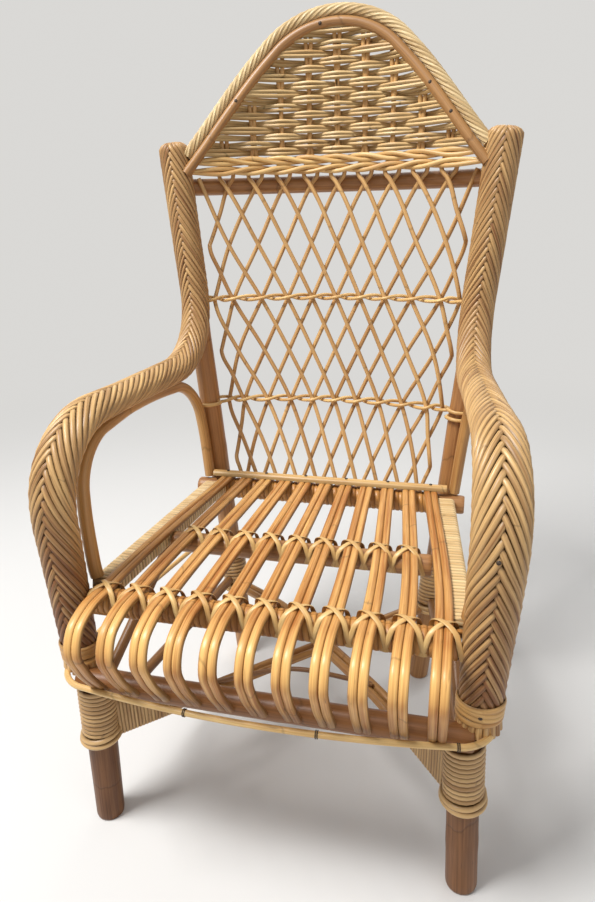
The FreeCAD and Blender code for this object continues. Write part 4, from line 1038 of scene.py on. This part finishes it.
WEAVER_RADIUS = 0.0022
WEAVER_ROW = 0.0075
WALE_RADIUS = 0.0025
WALE_ROW = 0.0104
WALE_SLANT = 0.0028
WALE_REACH = 0.008
PANEL_EDGE = 0.013
WEAVER_TUCK = np.array((0.004, 0, 0))
CREST_BOW_RADIUS = 0.0055
CREST_BOW_REACH = 0.016
weave_finish = cane_finish(
    "weaver", (0.94, 0.69, 0.35), (0.56, 0.315, 0.11),
    joint_gap=0.25, crevice=0.60, relief=0.2, coat=0.0, shine=0.22,
)
panel_spots = np.concatenate(lines_of("back_weavers", 4))
wale_lines = lines_of("back_wale", 5)
bow_line = longer(rising(bend_through(lines_of("crest_bow", 8)[0], 0.006), 0), CREST_BOW_REACH)
crown = int(np.argmax(bow_line[:, 2]))
stakes = [line[np.argmax(line[:, 2])] for layer in ("front", "rear") for line in lines_of("back_canes_" + layer, 5)]
stake_x = sorted(spot[0] for spot in stakes if spot[2] > wale_lines[0][:, 2].mean() + 0.01)
pair_x = [(a + b) / 2 for a, b in zip(stake_x[::2], stake_x[1::2])]


def panel_terms(x, z):
    return np.stack([np.ones_like(x), x * x, z, x * x * z], axis=-1)


panel_fit = np.linalg.lstsq(panel_terms(panel_spots[:, 0], panel_spots[:, 2]), panel_spots[:, 1], rcond=None)[0]


def in_panel(x, z, depth):
    """A place in the woven panel, depth being measured back from the middle of its stakes."""
    return np.array([x, panel_terms(np.array(x), np.array(z)) @ panel_fit + depth, z])


def bow_at(hand, z):
    """The crest bow's centre at a height, on its left or right flank."""
    flank = bow_line[: crown + 1] if hand < 0 else bow_line[crown:][::-1]
    return place_on(flank, flank[:, 2], z)


weavers = Bundle(201)
wale_foot = min(line[:, 2].min() for line in wale_lines) - 0.0012
weave_foot = wale_foot + 2 * WALE_ROW + WEAVER_RADIUS
row = 0
while weave_foot + row * WEAVER_ROW < bow_line[crown][2] - CREST_BOW_RADIUS - 0.001:
    for strand in (0, 1):
        z = weave_foot + (row + strand / 2) * WEAVER_ROW + 0.0004 * weavers.chance.randn()
        left, right = bow_at(-1, z), bow_at(1, z)
        route = [left + WEAVER_TUCK]
        for number, x in enumerate(pair_x):
            if left[0] + PANEL_EDGE < x < right[0] - PANEL_EDGE:
                side = 1 if (number + row) % 2 else -1
                pinch = (strand - 0.5) * (0.0010 if side < 0 else -0.0012)
                route.append(in_panel(x, z + pinch, side * (CANE_RADIUS + WEAVER_RADIUS + 0.0002)))
        route.append(right - WEAVER_TUCK)
        width = WEAVER_RADIUS * (0.94 + 0.12 * weavers.chance.rand())
        weavers.sweep(bend_through(route, 0.005), round_section(width, 7), up=(0, 0, 1), shaded=True)
    row += 1
weavers.make("weavers_back", weave_finish, "weave", "back_weavers")
wale = Bundle(203)
wale_end = max(abs(line[:, 0]).max() for line in wale_lines)
for level, slant in ((0, WALE_SLANT), (1, -WALE_SLANT)):
    z = wale_foot + (level + 0.5) * WALE_ROW
    for strand in range(3):
        route = [in_panel(-wale_end - WALE_REACH, z, 0.002)]
        for number, x in enumerate(pair_x):
            phase = (number + strand + level) % 3
            depth = (CANE_RADIUS + WALE_RADIUS + 0.0003) * (1 if phase == 0 else -1)
            route.append(in_panel(x, z + slant * (0, -1, 1)[phase], depth))
        route.append(in_panel(wale_end + WALE_REACH, z, 0.002))
        wale.sweep(bend_through(route, 0.004), round_section(WALE_RADIUS, 9))
wale.make("wale_back", pale_finish, "weave", "back_wale")


# Crest
# An inner bow of bent cane, and outside it a roll of pale strands wound in a long spiral round a core.

ROLL_RADIUS = 0.0065
ROLL_STRANDS = 9
ROLL_STRAND_RADIUS = 0.0021
ROLL_TURN = 0.085
ROLL_REACH = 0.018
crest = Bundle(211)
crest.sweep(bow_line, round_section(CREST_BOW_RADIUS, 16))
bow_finish = cane_finish("bow_cane", (0.40, 0.205, 0.072), (0.17, 0.070, 0.021), joint_gap=0.2)
crest.make("bow_crest", bow_finish, "cane", "crest_bow")
roll_finish = cane_finish(
    "crest_strand", (0.78, 0.60, 0.33), (0.44, 0.27, 0.11),
    joint_gap=0.4, crevice=0.95, relief=0.2, coat=0.0, shine=0.25,
)
roll = Bundle(213)
for line in lines_of("crest_roll", 8):
    line = bend_through(longer(bend_through(line, 0.004), ROLL_REACH), 0.004)
    along = unit(np.gradient(line, axis=0))
    flat = unit(np.cross(along[0], along[-1]))
    inward = np.cross(along, flat)
    roll.sweep(line, round_section(ROLL_RADIUS - 1.6 * ROLL_STRAND_RADIUS, 10), tone=0.0)
    for strand in range(ROLL_STRANDS):
        turn = 2 * math.pi * (lengths(line) / ROLL_TURN + strand / ROLL_STRANDS)
        out = np.cos(turn)[:, None] * inward + np.sin(turn)[:, None] * flat
        route = line + out * (ROLL_RADIUS - ROLL_STRAND_RADIUS)
        roll.sweep(route, round_section(ROLL_STRAND_RADIUS, 7), up=out, shaded=True)
roll.make("roll_crest", roll_finish, "braid", "crest_roll")


# Nails and wire ties
# Iron nail heads in the crest bow, the rear batten, the arm bands and the right braid, and dark wire that
# ties the hoop to some of the slats. The head is modelled once and copied.

NAIL_RADIUS = 0.0020
NAIL_FLAT = 0.5
WIRE_RADIUS = 0.0005
iron_finish = plain_finish("iron", (0.10, 0.07, 0.05), (0.018, 0.013, 0.01), (900, 900, 900), metal=0.5)
bpy.ops.mesh.primitive_uv_sphere_add(segments=10, ring_count=6, radius=NAIL_RADIUS)
head = bpy.context.object
head.data.transform(Matrix.Diagonal((1, 1, NAIL_FLAT, 1)))
spots = []
crown_z, foot_z = bow_line[crown][2], bow_line[0][2]
for hand, share in ((-1, 0.01), (-1, 0.50), (1, 0.46), (1, 0.66)):
    spot = bow_at(hand, crown_z - share * (crown_z - foot_z))
    spots.append((spot + (0, -CREST_BOW_RADIUS * 0.97, 0.0), Vector((0, -1, 0.1))))
batten_low, batten_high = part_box("seat_rear_batten")
for number in range(0, 11, 2):
    y = (batten_low.y + batten_high.y) / 2
    spots.append((np.array((slat_centre(number, y), y, batten_high.z)), Vector((0, 0, 1))))
for side, s, turn in ((-1, BRAID_FOOT + 0.014, 0.1), (1, BRAID_FOOT + 0.014, 0.0), (1, 0.167, 0.06)):
    place, out = Arm(side).skin(s, turn, -0.0012 if s < 0.05 else 0.0004)
    spots.append((place, Vector(out)))
points, faces = [], []
for place, out in spots:
    stance = Matrix.Translation(Vector(place)) @ out.to_track_quat("Z", "Y").to_matrix().to_4x4()
    faces += [[len(points) + v for v in face.vertices] for face in head.data.polygons]
    points += [stance @ v.co for v in head.data.vertices]
bpy.data.objects.remove(head)
mesh = bpy.data.meshes.new("nail_heads")
mesh.from_pydata(points, [], faces)
mesh.materials.append(iron_finish)
mesh.shade_smooth()
nails = bpy.data.objects.new("nail_heads", mesh)
bpy.context.collection.objects.link(nails)
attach(nails, "root")
ties = Bundle(221)
for x in (slat_centre(3, front_y) - 0.006, slat_centre(7, front_y) - 0.003, 0.172):
    near = int(np.argmin(np.abs(hoop_line[:, 0] - x) + 5 * np.abs(hoop_line[:, 1] - hoop_line[:, 1].min())))
    along = unit(hoop_line[near + 1] - hoop_line[near - 1])
    out = circle(np.cross(along, (0, 0, 1)), (0, 0, 1), 14)[1]
    for shift in (-0.0008, 0.0008):
        ring = hoop_line[near] + along * shift + out * (HOOP_RADIUS + 0.0004)
        ties.sweep(ring, round_section(WIRE_RADIUS, 6), up=out, loop=True)
ties.make("wire_ties_hoop", iron_finish, "wrap")


# Floor, light and camera
# A plain pale studio floor that fades into a backdrop of the same tone, soft lamps, and the camera where
# the photograph was taken.

BACKDROP = (0.70, 0.69, 0.67)


def backdrop_rays(nodes, links):
    """1 for the rays that meet the backdrop: from the camera, off a gloss or through glass."""
    rays = new_node(nodes, "LightPath")
    total = rays.outputs["Is Camera Ray"]
    for kind in ("Is Glossy Ray", "Is Transmission Ray"):
        add = new_node(nodes, "Math")
        add.use_clamp = True
        links.new(total, add.inputs[0])
        links.new(rays.outputs[kind], add.inputs[1])
        total = add.outputs[0]
    return total


bpy.ops.mesh.primitive_plane_add(size=14)
floor = bpy.context.object
floor.name = "studio_floor"
paint, nodes, links = new_material("studio_floor")
board = fill(nodes["Principled BSDF"], {"Base Color": (0.74, 0.73, 0.71, 1), "Roughness": 0.7})
haze = new_node(nodes, "Emission", {"Color": (*BACKDROP, 1)})
place = new_node(nodes, "TexCoord")
away = new_node(nodes, "VectorMath", operation="LENGTH")
far = new_node(nodes, "MapRange", {"From Min": 0.55, "From Max": 1.9})
far.interpolation_type = "SMOOTHSTEP"
seen = new_node(nodes, "Math", operation="MULTIPLY")
fade = new_node(nodes, "MixShader")
links.new(place.outputs["Object"], away.inputs[0])
links.new(away.outputs["Value"], far.inputs["Value"])
links.new(far.outputs["Result"], seen.inputs[0])
links.new(backdrop_rays(nodes, links), seen.inputs[1])
links.new(seen.outputs[0], fade.inputs[0])
links.new(board.outputs[0], fade.inputs[1])
links.new(haze.outputs[0], fade.inputs[2])
links.new(fade.outputs[0], nodes["Material Output"].inputs["Surface"])
floor.data.materials.append(paint)
floor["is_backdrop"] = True

world = bpy.data.worlds.new("studio")
world.use_nodes = True
nodes, links = world.node_tree.nodes, world.node_tree.links
sky = fill(nodes["Background"], {"Color": (0.93, 0.94, 0.96, 1), "Strength": 0.34})
backdrop = new_node(nodes, "Background", {"Color": (*BACKDROP, 1)})
split = new_node(nodes, "MixShader")
links.new(backdrop_rays(nodes, links), split.inputs[0])
links.new(sky.outputs[0], split.inputs[1])
links.new(backdrop.outputs[0], split.inputs[2])
links.new(split.outputs[0], nodes["World Output"].inputs["Surface"])
bpy.context.scene.world = world
for name, place, size, power in (
    ("window", (-0.9, -0.7, 2.3), 0.8, 66),
    ("side", (1.9, -1.2, 1.4), 1.6, 6),
    ("back", (0.2, 1.9, 2.0), 1.4, 10),
):
    lamp = bpy.data.lights.new(name, "AREA")
    lamp.size = size
    lamp.energy = power
    holder = bpy.data.objects.new(name, lamp)
    holder.location = place
    holder.rotation_euler = (Vector((0, 0, 0.4)) - Vector(place)).to_track_quat("-Z", "Y").to_euler()
    bpy.context.collection.objects.link(holder)

CAMERA_YAW = math.radians(14.285)
CAMERA_PITCH = math.radians(20.769)
CAMERA_ROLL = math.radians(-1.6313)
CAMERA_PLACE = Vector((0.15107, front_y - 0.45561, 0.60294))
CAMERA_LENS = 26.224
view = bpy.data.cameras.new("photograph")
view.lens = CAMERA_LENS
view.sensor_width = 36
camera = bpy.data.objects.new("photograph", view)
camera.matrix_world = Matrix.Translation(CAMERA_PLACE)
for angle, axis in ((CAMERA_YAW, "Z"), (math.pi / 2 - CAMERA_PITCH, "X"), (CAMERA_ROLL, "Z")):
    camera.matrix_world = camera.matrix_world @ Matrix.Rotation(angle, 4, axis)
bpy.context.collection.objects.link(camera)
bpy.context.scene.camera = camera
bpy.context.scene.view_settings.view_transform = "Standard"

low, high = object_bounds()
{"cad": [list(cad_low), list(cad_high)], "visual": [list(low), list(high)]}
